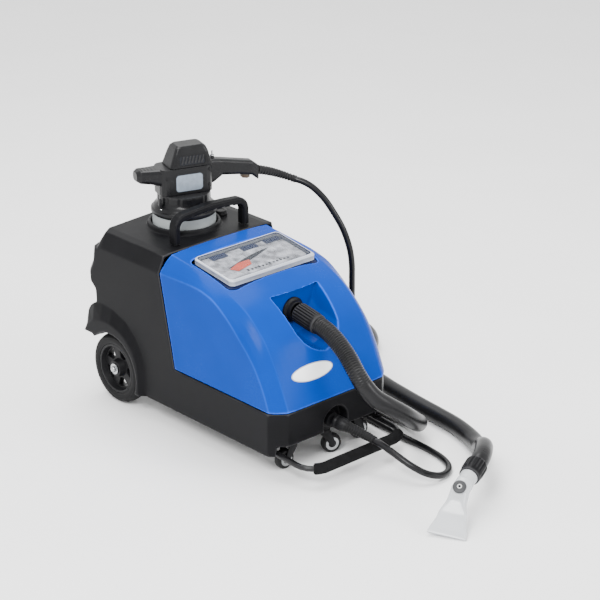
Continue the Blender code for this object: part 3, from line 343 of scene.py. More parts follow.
def cut(obj, shape):
    cutter = new_object("cutter", shape)
    subtract(obj, cutter)
    bpy.data.objects.remove(cutter)


def subtract(obj, cutter):
    modifier = obj.modifiers.new("cut", "BOOLEAN")
    modifier.operation = "DIFFERENCE"
    modifier.solver = "EXACT"
    modifier.object = cutter
    apply_modifiers(obj)


def round_edges(obj, width, segments=2, angle=35):
    modifier = obj.modifiers.new("edges", "BEVEL")
    modifier.width = width
    modifier.segments = segments
    modifier.limit_method = "ANGLE"
    modifier.angle_limit = math.radians(angle)
    modifier.use_clamp_overlap = True
    apply_modifiers(obj)


def mould(obj, voxel, passes, keep=1.0):
    """Gives a piece the even, softly rounded edges of a moulding."""
    remesh = obj.modifiers.new("remesh", "REMESH")
    remesh.mode = "VOXEL"
    remesh.voxel_size = voxel
    smooth = obj.modifiers.new("smooth", "SMOOTH")
    smooth.factor = 0.5
    smooth.iterations = passes
    if keep < 1.0:
        thin = obj.modifiers.new("thin", "DECIMATE")
        thin.ratio = keep
    apply_modifiers(obj)


def dress(obj, finish, body="chassis", node=None, smooth=40):
    """Gives a piece its finish and body, and hides the CAD node that it stands for."""
    obj.data.materials.clear()
    obj.data.materials.append(finish)
    obj.data.shade_smooth()
    obj.data.set_sharp_from_angle(angle=math.radians(smooth))
    if node:
        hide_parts(node)
    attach(obj, body)
    return obj


def piece(name, shape, finish, body="chassis", node=None, bevel=0.0, smooth=40):
    obj = new_object(name, shape)
    if bevel:
        round_edges(obj, bevel)
    return dress(obj, finish, body, node, smooth)


def tool_piece(name, shape, finish, node=None, bevel=0.0, smooth=40):
    """A piece of the brush tool, drawn in the tool's own axes."""
    return piece(name, on_tool(shape), finish, "tool", node, bevel, smooth)


def on_tool(shape):
    return moved(shape, TOOL_FRAME)


def refined(node, finish, bevel=0.001, segments=2, smooth=40):
    """A CAD node's solid with its edges rounded."""
    obj = new_object(node + "_trim", cad_shape(node))
    round_edges(obj, bevel, segments)
    return dress(obj, finish, frame["nodes"][node]["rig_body"], node, smooth)


# ---- finishes

def noise_node(tree, scale, detail, stretch=None):
    """Noise over the piece's own coordinates, stretched if asked."""
    place = tree.nodes.new("ShaderNodeTexCoord").outputs["Object"]
    texture = tree.nodes.new("ShaderNodeTexNoise")
    texture.inputs["Scale"].default_value = scale
    texture.inputs["Detail"].default_value = detail
    if stretch:
        mapping = tree.nodes.new("ShaderNodeMapping")
        mapping.inputs["Scale"].default_value = stretch
        tree.links.new(place, mapping.inputs["Vector"])
        place = mapping.outputs["Vector"]
    tree.links.new(place, texture.inputs["Vector"])
    return texture.outputs["Fac"]


def spread(tree, value, low, high, to_low, to_high):
    node = tree.nodes.new("ShaderNodeMapRange")
    node.inputs["From Min"].default_value = low
    node.inputs["From Max"].default_value = high
    node.inputs["To Min"].default_value = to_low
    node.inputs["To Max"].default_value = to_high
    tree.links.new(value, node.inputs["Value"])
    return node.outputs["Result"]


def blend_colours(tree, share, first, second):
    node = tree.nodes.new("ShaderNodeMix")
    node.data_type = "RGBA"
    tree.links.new(share, node.inputs["Factor"])
    for socket, colour in ((node.inputs[6], first), (node.inputs[7], second)):
        if isinstance(colour, tuple):
            socket.default_value = (*colour, 1.0)
        else:
            tree.links.new(colour, socket)
    return node.outputs[2]


def scaled(colour, factor):
    return tuple(min(1.0, c * factor) for c in colour)


def surface(
    name,
    colour,
    rough,
    grain=700.0,
    bump=0.12,
    depth=0.0004,
    mottle=0.14,
    patch=14.0,
    edge=0.0,
    edge_from=0.535,
    stretch=None,
    metallic=0.0,
    alpha=1.0,
    specular=0.5,
    ior=1.5,
):
    """A moulded or machined surface: fine grain, slow colour change, and edges painted a little lighter as
    a highlight.

    Pointiness of edge_from and up counts as an edge, and edge is how far the painted highlight colour goes
    there.
    """
    material = bpy.data.materials.new(name)
    material.use_nodes = True
    tree = material.node_tree
    principled = tree.nodes["Principled BSDF"]
    fine = noise_node(tree, grain, 4.0, stretch)
    broad = noise_node(tree, patch, 5.0)
    share = spread(tree, broad, 0.35, 0.65, 0.0, 1.0)
    tint = blend_colours(tree, share, scaled(colour, 1.0 - mottle), scaled(colour, 1.0 + mottle))
    if edge:
        # Painted highlight: where pointiness marks an edge or crease, the colour is mixed towards a lighter
        # copy of itself.
        pointiness = tree.nodes.new("ShaderNodeNewGeometry").outputs["Pointiness"]
        painted_highlight = spread(tree, pointiness, edge_from, edge_from + 0.04, 0.0, edge)
        tint = blend_colours(tree, painted_highlight, tint, scaled(tuple(c + 0.01 for c in colour), 2.6))
    tree.links.new(tint, principled.inputs["Base Color"])
    mixed = tree.nodes.new("ShaderNodeMath")
    mixed.operation = "ADD"
    tree.links.new(spread(tree, fine, 0.3, 0.7, -0.04, 0.04), mixed.inputs[0])
    tree.links.new(spread(tree, broad, 0.3, 0.7, rough - 0.05, rough + 0.05), mixed.inputs[1])
    tree.links.new(mixed.outputs[0], principled.inputs["Roughness"])
    relief = tree.nodes.new("ShaderNodeBump")
    relief.inputs["Strength"].default_value = bump
    relief.inputs["Distance"].default_value = depth
    tree.links.new(fine, relief.inputs["Height"])
    tree.links.new(relief.outputs["Normal"], principled.inputs["Normal"])
    principled.inputs["Metallic"].default_value = metallic
    principled.inputs["Specular IOR Level"].default_value = specular
    principled.inputs["IOR"].default_value = ior
    principled.inputs["Alpha"].default_value = alpha
    return material


# The edge value of each finish lightens its edges as a painted highlight; on the black body it paints the
# highlight along rims and the hood seam.
BLACK = surface(
    "satin_black", (0.0042, 0.0042, 0.005), 0.42, 650, 0.22, 0.0005, 0.16, 11,
    edge=0.8, edge_from=0.512, ior=1.17,
)
# Painted highlight: the edge value lightens the tool's edges the way bright highlights catch them.
TOOL_BLACK = surface(
    "tool_black", (0.0048, 0.0049, 0.0056), 0.3, 1100, 0.22, 0.0003, 0.12, 30, edge=0.3, specular=0.2
)
DARK = surface(
    "dark_plastic", (0.0055, 0.0055, 0.0063), 0.42, 900, 0.2, 0.0003, 0.15, 25, edge=0.2, specular=0.14
)
# Painted highlight: the low edge_from and full edge value paint bright lines along the hood's creases.
BLUE = surface(
    "hood_blue", (0.0, 0.0355, 0.265), 0.24, 260, 0.04, 0.0006, 0.05, 6, edge=1.0, edge_from=0.504, ior=1.11
)
NAVY = surface("seat_navy", (0.0003, 0.006, 0.05), 0.4, 500, 0.1, 0.0004, 0.1, 20, ior=1.2)
CLEAR = surface("clear_lid", (0.16, 0.18, 0.21), 0.05, 120, 0.03, 0.0006, 0.03, 8, alpha=0.07, ior=1.3)
# Painted highlight: a nearly opaque light band, lightened further at its edges, stands for the bright
# highlight along the clear lid's edge.
CLEAR_EDGE = surface(
    "clear_edge", (0.16, 0.17, 0.19), 0.1, 150, 0.05, 0.0006, 0.25, 40, edge=1.0, edge_from=0.52, alpha=0.9
)
MILKY = surface(
    "nozzle_clear", (0.62, 0.64, 0.66), 0.18, 90, 0.06, 0.0008, 0.06, 12, alpha=0.62, specular=0.6
)
GREY = surface("tank_grey", (0.26, 0.265, 0.275), 0.45, 400, 0.1, 0.0004, 0.08, 9)
WHITE = surface("tank_white", (0.55, 0.56, 0.55), 0.42, 400, 0.1, 0.0004, 0.05, 9)
DISC = surface("disc_grey", (0.034, 0.035, 0.037), 0.5, 900, 0.2, 0.0003, 0.12, 40, specular=0.3)
LABEL = surface("label_grey", (0.18, 0.215, 0.26), 0.38, 1500, 0.12, 0.0002, 0.1, 90, specular=0.3)
BADGE = surface("badge_white", (0.9, 0.91, 0.92), 0.25, 700, 0.05, 0.0002, 0.02, 20)
BADGE_RIM = surface("badge_rim", (0.3, 0.33, 0.37), 0.3, 700, 0.08, 0.0002, 0.04, 20)
PRINT_GREY = surface("print_grey", (0.25, 0.255, 0.28), 0.35, 900, 0.05, 0.0002, 0.55, 42, specular=0.2)
# Dark print on the lid label, also used as painted shade behind the tool cap's louvres.
PRINT_AND_SHADE_DARK = surface("print_and_shade_dark", (0.006, 0.007, 0.01), 0.4, 900, 0.05, 0.0002, 0.2, 30, specular=0.2)
PRINT_NAVY = surface("print_navy", (0.006, 0.012, 0.04), 0.4, 900, 0.05, 0.0002, 0.2, 30, specular=0.2)
PRINT_ORANGE = surface("print_orange", (0.42, 0.05, 0.022), 0.4, 900, 0.05, 0.0002, 0.12, 40, specular=0.2)
TYRE = surface(
    "tyre_rubber", (0.0085, 0.0085, 0.009), 0.6, 800, 0.3, 0.0005, 0.2, 16, edge=0.1, specular=0.1
)
RUBBER = surface("relief_rubber", (0.0075, 0.0075, 0.008), 0.46, 900, 0.25, 0.0003, 0.15, 30, specular=0.16)
FOAM = surface("grip_foam", (0.006, 0.006, 0.0064), 0.92, 900, 0.8, 0.0007, 0.25, 60, specular=0.08)
HOSE = surface(
    "hose_black", (0.0048, 0.0048, 0.0055), 0.34, 420, 0.15, 0.0005, 0.22, 9, edge=0.2, specular=0.22
)
CABLE = surface("cable_black", (0.0042, 0.0042, 0.005), 0.3, 900, 0.12, 0.0002, 0.12, 20, specular=0.24)
STEEL = surface("zinc_steel", (0.42, 0.43, 0.44), 0.22, 500, 0.1, 0.0002, 0.08, 60, metallic=1.0)
BAR = surface(
    "bar_black", (0.0055, 0.0055, 0.0062), 0.26, 900, 0.15, 0.0002, 0.12, 30, edge=0.2, specular=0.26
)
COPPER = surface("copper_winding", (0.36, 0.15, 0.06), 0.4, 2200, 0.6, 0.0004, 0.15, 50, metallic=1.0)
RED = surface("switch_red", (0.28, 0.012, 0.01), 0.35, 900, 0.1, 0.0002, 0.08, 40, specular=0.3)
TRIGGER = surface("trigger_bronze", (0.06, 0.036, 0.018), 0.4, 900, 0.15, 0.0002, 0.15, 60, specular=0.4)
BRISTLE = surface(
    "bristle", (0.27, 0.29, 0.295), 0.75, 1.0, 0.9, 0.001, 0.1, 30, stretch=(900, 900, 40), specular=0.2
)


# ---- camera, light and floor

def add_camera():
    data = bpy.data.cameras.new("camera")
    data.lens = CAMERA_LENS
    data.sensor_width = 36.0
    data.clip_end = 60.0
    camera = bpy.data.objects.new("camera", data)
    bpy.context.scene.collection.objects.link(camera)
    back = Vector((
        math.sin(CAMERA_AZIMUTH) * math.cos(CAMERA_ELEVATION),
        -math.cos(CAMERA_AZIMUTH) * math.cos(CAMERA_ELEVATION),
        math.sin(CAMERA_ELEVATION),
    ))
    camera.location = CAMERA_TARGET + back * CAMERA_DISTANCE
    camera.rotation_euler = back.to_track_quat("Z", "Y").to_euler()
    bpy.context.scene.camera = camera


def add_light(name, place, size, power):
    data = bpy.data.lights.new(name, "AREA")
    data.shape = "DISK"
    data.size = size
    data.energy = power
    light = bpy.data.objects.new(name, data)
    light.location = place
    toward = Vector((0, -0.1, 0.25)) - Vector(place)
    light.rotation_euler = toward.to_track_quat("-Z", "Y").to_euler()
    bpy.context.scene.collection.objects.link(light)


def add_studio():
    world = bpy.data.worlds.new("studio")
    world.use_nodes = True
    background = world.node_tree.nodes["Background"]
    background.inputs["Color"].default_value = (1.0, 1.0, 1.0, 1.0)
    background.inputs["Strength"].default_value = 1.7
    bpy.context.scene.world = world
    add_light("key", (-2.6, -1.7, 3.2), 1.6, 190)
    add_light("top", (0.5, 0.9, 3.6), 2.4, 150)
    add_light("front", (1.6, -3.4, 1.7), 1.4, 70)
    floor_shape = ([(-30, -30, 0), (30, -30, 0), (30, 30, 0), (-30, 30, 0)], [(0, 1, 2, 3)])
    floor = new_object("floor", floor_shape)
    floor.data.materials.append(surface("floor", (0.9, 0.9, 0.9), 0.75, 60, 0.02, 0.001, 0.01, 2))


# ---- hose and cable

def hose_route():
    route = list(HOSE_START)
    for x, y, radius, start, end in (HOSE_TURN, HOSE_RETURN):
        steps = round(abs(end - start) / 20)
        turn = arc((x, y), radius, start, end, steps)
        route += [(a, b, HOSE_FLOOR_Z) for a, b in turn[:-1]]
    return route + HOSE_END


def hose_radius(place):
    """Ridged where it leaves the machine, then a smooth sleeve with a faint winding."""
    full = HOSE_DIAMETER / 2
    fade = min(1.0, max(0.0, (CORRUGATED_LENGTH - place) / 0.06))
    ridge = 0.5 + 0.5 * math.cos(2 * math.pi * place / CORRUGATION_PITCH)
    winding = 0.5 + 0.5 * math.cos(2 * math.pi * place / WINDING_PITCH)
    return full - RIDGE_DEPTH * fade * (1 - ridge) - WINDING_DEPTH * (1 - fade) * (1 - winding)


def make_hose():
    line = smooth_line(hose_route(), 20)
    whole = lengths_of(line)[-1]
    places = [0.0]
    while places[-1] < whole:
        step = CORRUGATION_PITCH / 8 if places[-1] < CORRUGATED_LENGTH else 0.003
        places.append(min(whole, places[-1] + step))
    path = at_lengths(line, places)
    shape = tube(path, hose_radius, 28)
    hose = piece("hose_sleeve", shape, HOSE, node="vacuum_hose", smooth=60)
    return hose, path


def make_cable():
    line = smooth_line(CABLE_ROUTE, 20)
    whole = lengths_of(line)[-1]
    count = round(whole / 0.006)
    path = at_lengths(line, [whole * k / count for k in range(count + 1)])
    shape = tube(path, lambda place: CABLE_DIAMETER / 2, 20)
    cable = piece("cable_sheath", shape, CABLE, node="foam_cable", smooth=60)
    return cable, path


# ---- hood and body

HOOD_HALF_WIDTH = 0.205
HOOD_BOTTOM_Z = 0.1832
HOOD_EDGE = [
    (0.118, 0.4415), (-0.017, 0.444), (-0.072, 0.437), (-0.111, 0.422),
    (-0.158, 0.39), (-0.203, 0.349), (-0.236, 0.317), (-0.264, 0.282),
    (-0.291, 0.234), (-0.3105, 0.187),
]
HOOD_SHOULDER = [
    (0.1135, 0.4865), (0.005, 0.473), (-0.05, 0.462), (-0.086, 0.453),
    (-0.142, 0.434), (-0.189, 0.411), (-0.23, 0.378), (-0.267, 0.337),
    (-0.306, 0.269), (-0.3455, 0.187),
]
HOOD_CREST = [
    (0.1135, 0.492), (0.005, 0.485), (-0.05, 0.476), (-0.086, 0.468),
    (-0.145, 0.45), (-0.197, 0.425), (-0.247, 0.386), (-0.286, 0.338),
    (-0.319, 0.267), (-0.3475, 0.187),
]


def between(first, second, share):
    return [(a[0] + (b[0] - a[0]) * share, a[1] + (b[1] - a[1]) * share) for a, b in zip(first, second)]


def dense_profile(profile):
    return [(p.x, p.y) for p in smooth_line([(y, z, 0) for y, z in profile], 6)]


def hood_rows():
    """(x, profile) across the right half of the hood: level over the middle, then the soft shoulder."""
    middle = []
    for k in range(9):
        share = 1 - (k / 8) ** 2.4
        middle.append((0.1665 * k / 8, between(HOOD_SHOULDER, HOOD_CREST, share)))
    shoulder = [
        (0.1765, between(HOOD_EDGE, HOOD_SHOULDER, 0.83)),
        (0.186, between(HOOD_EDGE, HOOD_SHOULDER, 0.62)),
        (0.1965, between(HOOD_EDGE, HOOD_SHOULDER, 0.33)),
        (HOOD_HALF_WIDTH, HOOD_EDGE),
    ]
    return [(x, dense_profile(profile)) for x, profile in middle + shoulder]


def inset(profile, depth):
    points = []
    for i, (y, z) in enumerate(profile):
        y0, z0 = profile[max(i - 1, 0)]
        y1, z1 = profile[min(i + 1, len(profile) - 1)]
        length = math.hypot(y1 - y0, z1 - z0)
        points.append((y - (z1 - z0) / length * depth, z + (y1 - y0) / length * depth))
    return points


def mirrored_loft(stations):
    """Rings at x for the right half, repeated on the left."""
    both = [(-x, outline) for x, outline in reversed(stations) if x > 0] + stations
    return loft([[(x, y, z) for y, z in outline] for x, outline in both])


def hood_outside():
    stations = []
    for x, profile in hood_rows():
        stations.append((x, [*profile, (profile[-1][0], HOOD_BOTTOM_Z), (0.0628, HOOD_BOTTOM_Z)]))
    return mirrored_loft(stations)


def hood_hollow(depth):
    stations = []
    for x, profile in hood_rows():
        inner = inset(profile, depth)
        rear = inner[0]
        outline = [(rear[0] + 0.03, rear[1]), *inner, (inner[-1][0], 0.15), (rear[0] + 0.03, 0.15)]
        stations.append((min(x, HOOD_HALF_WIDTH - depth), outline))
    stations = stations[:-2] + [stations[-1]]
    return mirrored_loft(stations)


def port_recess(margin):
    """The shield-shaped recess around the hose port."""
    rows = [(0.0, 0.3), (0.02, 0.3045), (0.04, 0.314), (0.058, 0.33), (0.071, 0.352), (0.082, 0.412)]
    rings = []
    for x, bottom in [(-x, z) for x, z in reversed(rows)] + rows[1:]:
        grown = x * (0.082 + margin) / 0.082
        low = bottom - margin
        back = -0.175 + margin
        top = 0.43 + margin
        rings.append([
            (grown, -0.42, low - 0.004),
            (grown, -0.255, low),
            (grown, back - 0.022, low + 0.014),
            (grown, back, low + 0.036 if bottom < 0.38 else low + 0.01),
            (grown, back, top),
            (grown, -0.42, top),
        ])
    return loft(rings)


def lid_z(y, lift=0.0):
    return LID_TOP_Z - (LID_REAR_Y - y) * LID_SLOPE + lift


def lid_slab(margin, radius, low, high):
    """A slab with round corners, parallel to the lid's top."""
    outline = rounded((-0.148 - margin, -0.108 - margin), (0.148 + margin, 0.046 + margin), radius, 8)
    return loft([[(x, y, lid_z(y, h)) for x, y in outline] for h in (low, high)])


def make_hood():
    hood = new_object("hood_shell", hood_outside())
    hollow = new_object("hollow", hood_hollow(HOOD_WALL))
    keep = new_object("keep", port_recess(RECESS_WALL))
    subtract(hollow, keep)
    subtract(hood, hollow)
    bpy.data.objects.remove(hollow)
    bpy.data.objects.remove(keep)
    cut(hood, port_recess(0.0))
    cut(hood, lid_slab(0.0085, 0.02, -0.05, 0.05))
    hole = lathe([(0.0001, 0), (0.0265, 0), (0.0265, 0.14), (0.0001, 0.14)], 48)
    cut(hood, aimed(hole, (0, -0.1, 0.373), (0, -1, 0)))
    mould(hood, 0.002, 10, 0.35)
    dress(hood, BLUE, node="front_hood", smooth=75)
    return hood


def fender(side):
    """The flared arch over a rear wheel, as one smooth sweep from its crease to its lip."""
    crease = [(0.188, 0.06), (0.189, 0.11), (0.191, 0.14), (0.202, 0.18), (0.228, 0.221)]
    crease += [(0.269, 0.255), (0.325, 0.2735), (0.369, 0.2775), (0.405, 0.271), (0.431, 0.245)]
    crease += [(0.4445, 0.184)]
    lip = [(0.204, 0.06), (0.205, 0.11), (0.207, 0.136), (0.217, 0.168), (0.239, 0.199)]
    lip += [(0.272, 0.223), (0.32, 0.236), (0.36, 0.235), (0.394, 0.224), (0.419, 0.205)]
    lip += [(0.436, 0.184)]
    tail = [(0.4, 0.184), (0.32, 0.1), (0.24, 0.06)]
    crease = dense_profile(crease) + tail
    lip = dense_profile(lip) + tail
    rings = [[(side * x, y, z) for y, z in crease] for x in (0.2035, 0.2066)]
    for k in range(1, 9):
        share = k / 8
        x = 0.2066 + 0.0152 * (share ** 1.5)
        rings.append([(side * x, y, z) for y, z in between(crease, lip, share)])
    arch = new_object("arch", loft(rings))
    well = [(0.0001, 0), (ARCH_RADIUS, 0), (ARCH_RADIUS, 0.08), (0.0001, 0.08)]
    cut(arch, aimed(lathe(well, 96), (side * 0.19, AXLE_Y, WHEEL_RADIUS), (side, 0, 0)))
    shape = shape_of(arch)
    bpy.data.objects.remove(arch)
    return shape


def shape_of(obj):
    return [v.co.copy() for v in obj.data.vertices], [tuple(p.vertices) for p in obj.data.polygons]


def make_body():
    """The black moulding: base tray, fenders, rear body and deck in one."""
    ring = [(0.0904, 0.48), (0.101, 0.48), (0.101, 0.494), (0.0992, 0.501), (0.0966, 0.5052)]
    ring += [(0.0935, 0.5062), (0.0904, 0.5045)]
    dock = shifted(lathe(ring, 120), 0, DOCK_Y, 0)
    body = new_object("body_moulding", merged(cad_shape("chassis_shell"), fender(-1), fender(1), dock))
    mould(body, 0.0022, 6, 0.26)
    return dress(body, BLACK, node="chassis_shell", smooth=75)


def make_badge(hood):
    """A blank oval badge, laid on the hood's front."""
    bpy.context.view_layer.update()
    for name, half_x, half_z, proud, finish in (
        ("badge_rim", 0.069, 0.0205, 0.0006, BADGE_RIM),
        ("badge_face", 0.0675, 0.0192, 0.0011, BADGE),
    ):
        rings = []
        for share in (0.0, 0.25, 0.5, 0.75, 0.92, 1.0):
            ring = []
            for k in range(48):
                angle = 2 * math.pi * k / 48
                x = BADGE_X + half_x * max(share, 0.01) * math.cos(angle)
                z = BADGE_Z + half_z * max(share, 0.01) * math.sin(angle)
                hit, place, normal, _ = hood.ray_cast(Vector((x, -1.0, z)), Vector((0, 1, 0)))
                lift = proud if share < 1.0 else 0.0
                ring.append(place + normal * lift if hit else Vector((x, -0.33, z)))
            rings.append(ring)
        badge = new_object(name, loft(rings))
        dress(badge, finish, smooth=60)


# ---- lid and tank

def make_lid():
    lid = new_object("lid_cover", lid_slab(0.0, 0.014, -0.016, 0.0))
    cut(lid, lid_slab(-0.003, 0.011, -0.026, -0.003))
    round_edges(lid, 0.0022, 3)
    dress(lid, CLEAR, "lid", "clear_lid")
    outer = rounded((-0.1486, -0.1086), (0.1486, 0.0466), 0.014, 8)
    inner = rounded((-0.143, -0.1), (0.143, 0.042), 0.012, 8)
    rings = []
    for k in range(len(outer)):
        a, b = outer[k], inner[k]
        rings.append([
            (a[0], a[1], lid_z(a[1], -0.0135)),
            (a[0], a[1], lid_z(a[1], -0.012)),
            (a[0], a[1], lid_z(a[1], -0.0036)),
            (a[0], a[1], lid_z(a[1], -0.0012)),
            (0.5 * (a[0] + b[0]), 0.5 * (a[1] + b[1]), lid_z(a[1], 0.001)),
            (b[0], b[1], lid_z(b[1], 0.0012)),
            (b[0], b[1], lid_z(b[1], 0.0002)),
        ])
    # The bevel band carries the lid edge's painted highlight.
    piece("lid_bevel", loft(rings, around=True), CLEAR_EDGE, "lid", smooth=50)
    groove = []
    for grow, lift in ((0.0, -0.0006), (0.0, 0.0007), (0.0016, 0.0007), (0.0016, -0.0006)):
        line = rounded((-0.1412 - grow, -0.0983 - grow), (0.1412 + grow, 0.0403 + grow), 0.01 + grow, 8)
        groove.append([(x, y, lid_z(y, lift)) for x, y in line])
    piece("lid_groove", loft(groove, around=True), NAVY, "lid", smooth=50)
    make_lid_print()
    refined("lid_gasket", NAVY, 0.0008)
    for side in ("left", "right"):
        refined("lid_hinge_" + side, NAVY, 0.0008)


def print_patch(name, outline, finish, level):
    """A thin printed patch under the lid's clear top, level steps below it."""
    top = -0.0036 - 0.0008 * (3 - level)
    rings = [[(x, y, lid_z(y, h)) for x, y in outline] for h in (top - 0.0006, top)]
    piece(name, loft(rings), finish, "lid")


def make_lid_print():
    """The label seen through the lid: pale ground, dark sweep, warm patch and a row of level marks."""
    print_patch("label_ground", rounded((-0.136, -0.088), (0.136, 0.033), 0.01), PRINT_GREY, 0)
    for k, x in enumerate((-0.076, 0.03, 0.11)):
        outline = rounded((x - 0.03, 0.013), (x + 0.024, 0.034), 0.002)
        print_patch("label_patch_" + str(k), outline, PRINT_NAVY, 1)
    places = (-0.1, -0.07, -0.03, 0.01, 0.045, 0.07)
    upper = [(x, -0.04 + 0.036 * math.sin((x + 0.1) * 9.0)) for x in places]
    lower = [(x, y - 0.017 * math.sin((x + 0.1) * math.pi / 0.17)) for x, y in upper]
    print_patch("label_sweep", upper + list(reversed(lower[1:-1])), PRINT_AND_SHADE_DARK, 1)
    warm = [(-0.1, -0.046), (-0.06, -0.03), (-0.02, -0.03), (-0.03, -0.052), (-0.085, -0.064)]
    print_patch("label_warm", warm, PRINT_ORANGE, 2)
    for k in range(12):
        x = -0.062 + 0.0125 * k
        tall = 0.009 if k % 3 == 0 else 0.006
        outline = rounded((x, -0.076), (x + 0.006, -0.076 + tall), 0.001)
        print_patch("label_mark_" + str(k), outline, PRINT_AND_SHADE_DARK, 1)


# ---- port and connector

def fluted(count, depth, low, high):
    """Lengthwise grooves between two heights of a turned piece."""
    def ripple(angle, radius, height):
        if not low <= height <= high or radius < 0.012:
            return radius
        wave = 0.5 + 0.5 * math.cos(count * angle)
        return radius - depth * wave ** 3
    return ripple


def cuff_shape(length, radius, mouth, bore, flutes):
    profile = [(bore, 0), (radius - 0.005, 0), (radius - 0.001, 0.004)]
    rows = 10
    for k in range(rows + 1):
        profile.append((radius, 0.006 + (length - 0.023) * k / rows))
    profile += [(mouth + 0.0015, length - 0.008), (mouth + 0.0015, length - 0.002), (mouth, length)]
    profile += [(bore, length)]
    return lathe(profile, 132, fluted(flutes, 0.0026, 0.005, length - 0.0165))


def make_port():
    refined("hose_port", DARK, 0.0008)
    start = Vector((0, -0.2005, 0.3725))
    along = Vector(HOSE_START[0]) - start
    shape = cuff_shape(along.length - FACE_GAP, 0.028, 0.0252, 0.016, 22)
    piece("cuff_grip", aimed(shape, start, along), BLACK, node="port_cuff", smooth=50)


def ringed(first, leaving, last, arriving, wide, narrow, rings, node, body):
    """A tapered rubber relief with rings round it, bent between two directions."""
    first, last = Vector(first), Vector(last)
    reach = (last - first).length
    a = Vector(leaving).normalized() * reach
    b = Vector(arriving).normalized() * reach
    count = rings * 8
    line = []
    for k in range(count + 1):
        t = k / count
        line.append(
            first * (2 * t ** 3 - 3 * t * t + 1)
            + a * (t ** 3 - 2 * t * t + t)
            + last * (3 * t * t - 2 * t ** 3)
            + b * (t ** 3 - t * t)
        )
    whole = lengths_of(line)[-1]

    def radius_at(place):
        share = place / whole
        ridge = 0.5 + 0.5 * math.cos(2 * math.pi * share * rings)
        inside = min(1.0, min(share, 1 - share) / 0.08)
        return wide + (narrow - wide) * share - 0.0019 * inside * (1 - ridge)

    shape = tube(line, radius_at, 28)
    return piece(node + "_ringed", shape, RUBBER, body, node, smooth=60)


def make_connector():
    refined("connector_socket", DARK, 0.0008)
    start = Vector((0.0015, -0.34, 0.108))
    along = Vector((0.008, -0.034, -0.006))
    profile = [(0.0001, 0), (0.017, 0), (0.018, 0.001), (0.0184, 0.003), (0.0184, 0.008), (0.0176, 0.009)]
    profile += [(0.0176, 0.011), (0.0184, 0.012), (0.0184, 0.026), (0.0172, 0.03), (0.0158, 0.0345)]
    profile += [(0.0001, 0.0345)]
    shape = lathe(profile, 96, fluted(24, 0.0009, 0.012, 0.026))
    plug = piece("plug_grip", aimed(shape, start, along), DARK, node="connector_plug")
    arriving = Vector(CABLE_ROUTE[1]) - Vector(CABLE_ROUTE[0])
    first = start + along.normalized() * 0.0348
    last = Vector(CABLE_ROUTE[0]) - arriving.normalized() * FACE_GAP
    relief = ringed(first, along, last, arriving, 0.0155, 0.0112, 13, "front_relief", "chassis")
    return plug, relief


# ---- hose end

NOZZLE_HEAD = Vector((-0.0041, -0.7965, 0.0842))
NOZZLE_TIP_A = Vector((-0.1275, -0.7985, 0.0048))
NOZZLE_TIP_B = Vector((-0.0665, -0.8825, 0.0048))
NOZZLE_ROWS = [(0.0, 0.0235, 0.021), (0.25, 0.025, 0.017), (0.58, 0.037, 0.008), (1.0, 0.05, 0.0042)]


def make_hose_end():
    """Fluted cuff, clear collar, fan nozzle and its air-bleed disc."""
    end = Vector(HOSE_END[-1])
    along = (NOZZLE_HEAD - end).normalized()
    start = end + along * FACE_GAP
    cuff_parts = cuff_shape(0.055, 0.029, 0.0255, 0.014, 11)
    cuff = piece("nozzle_cuff", aimed(cuff_parts, start, along), BLACK, node="hose_cuff")
    collar_profile = [(0.015, 0), (0.0225, 0), (0.0225, 0.006), (0.0216, 0.007), (0.0216, 0.023)]
    collar_profile += [(0.0225, 0.024), (0.0225, 0.03), (0.015, 0.03)]
    collar = aimed(lathe(collar_profile, 64), start + along * 0.0553, along)
    collar = piece("clear_collar", collar, MILKY, node="nozzle_collar")
    slot = (NOZZLE_TIP_A + NOZZLE_TIP_B) / 2
    down = (slot - NOZZLE_HEAD).normalized()
    reach = (slot - NOZZLE_HEAD).length
    across = (NOZZLE_TIP_B - NOZZLE_TIP_A).normalized()
    across = (across - down * across.dot(down)).normalized()
    normal = across.cross(down).normalized()
    side = (across - along * across.dot(along)).normalized()
    stations = [(start + along * 0.0856, side, side.cross(along), 0.0225, 0.0222)]
    for share, half, thick in NOZZLE_ROWS:
        stations.append((NOZZLE_HEAD + down * (reach * share), across, normal, half, thick))
    nozzle = new_object("fan_nozzle", nozzle_loft(stations, 0.0, 0.0))
    cut(nozzle, nozzle_loft(stations, 0.002, 0.006))
    round_edges(nozzle, 0.0006, 2, 50)
    dress(nozzle, MILKY, node="nozzle_body", smooth=50)
    face = NOZZLE_HEAD + down * 0.004 - normal * 0.0217
    disc_profile = [(0.0001, 0), (0.0165, 0), (0.0175, 0.002), (0.017, 0.0045), (0.015, 0.0055)]
    disc_profile += [(0.0068, 0.0058), (0.0001, 0.0058)]
    disc = aimed(lathe(disc_profile, 64), face, -normal)
    piece("bleed_disc", disc, DISC, node="nozzle_disc")
    ring_profile = [(0.0034, 0.0057), (0.0062, 0.0057), (0.0058, 0.0069), (0.004, 0.0069)]
    piece("bleed_ring", aimed(lathe(ring_profile, 40), face, -normal), WHITE)
    hole_profile = [(0.0001, 0.0057), (0.0035, 0.0057), (0.0035, 0.0062), (0.0001, 0.006)]
    piece("bleed_hole", aimed(lathe(hole_profile, 32), face, -normal), PRINT_AND_SHADE_DARK)
    return [cuff, collar]


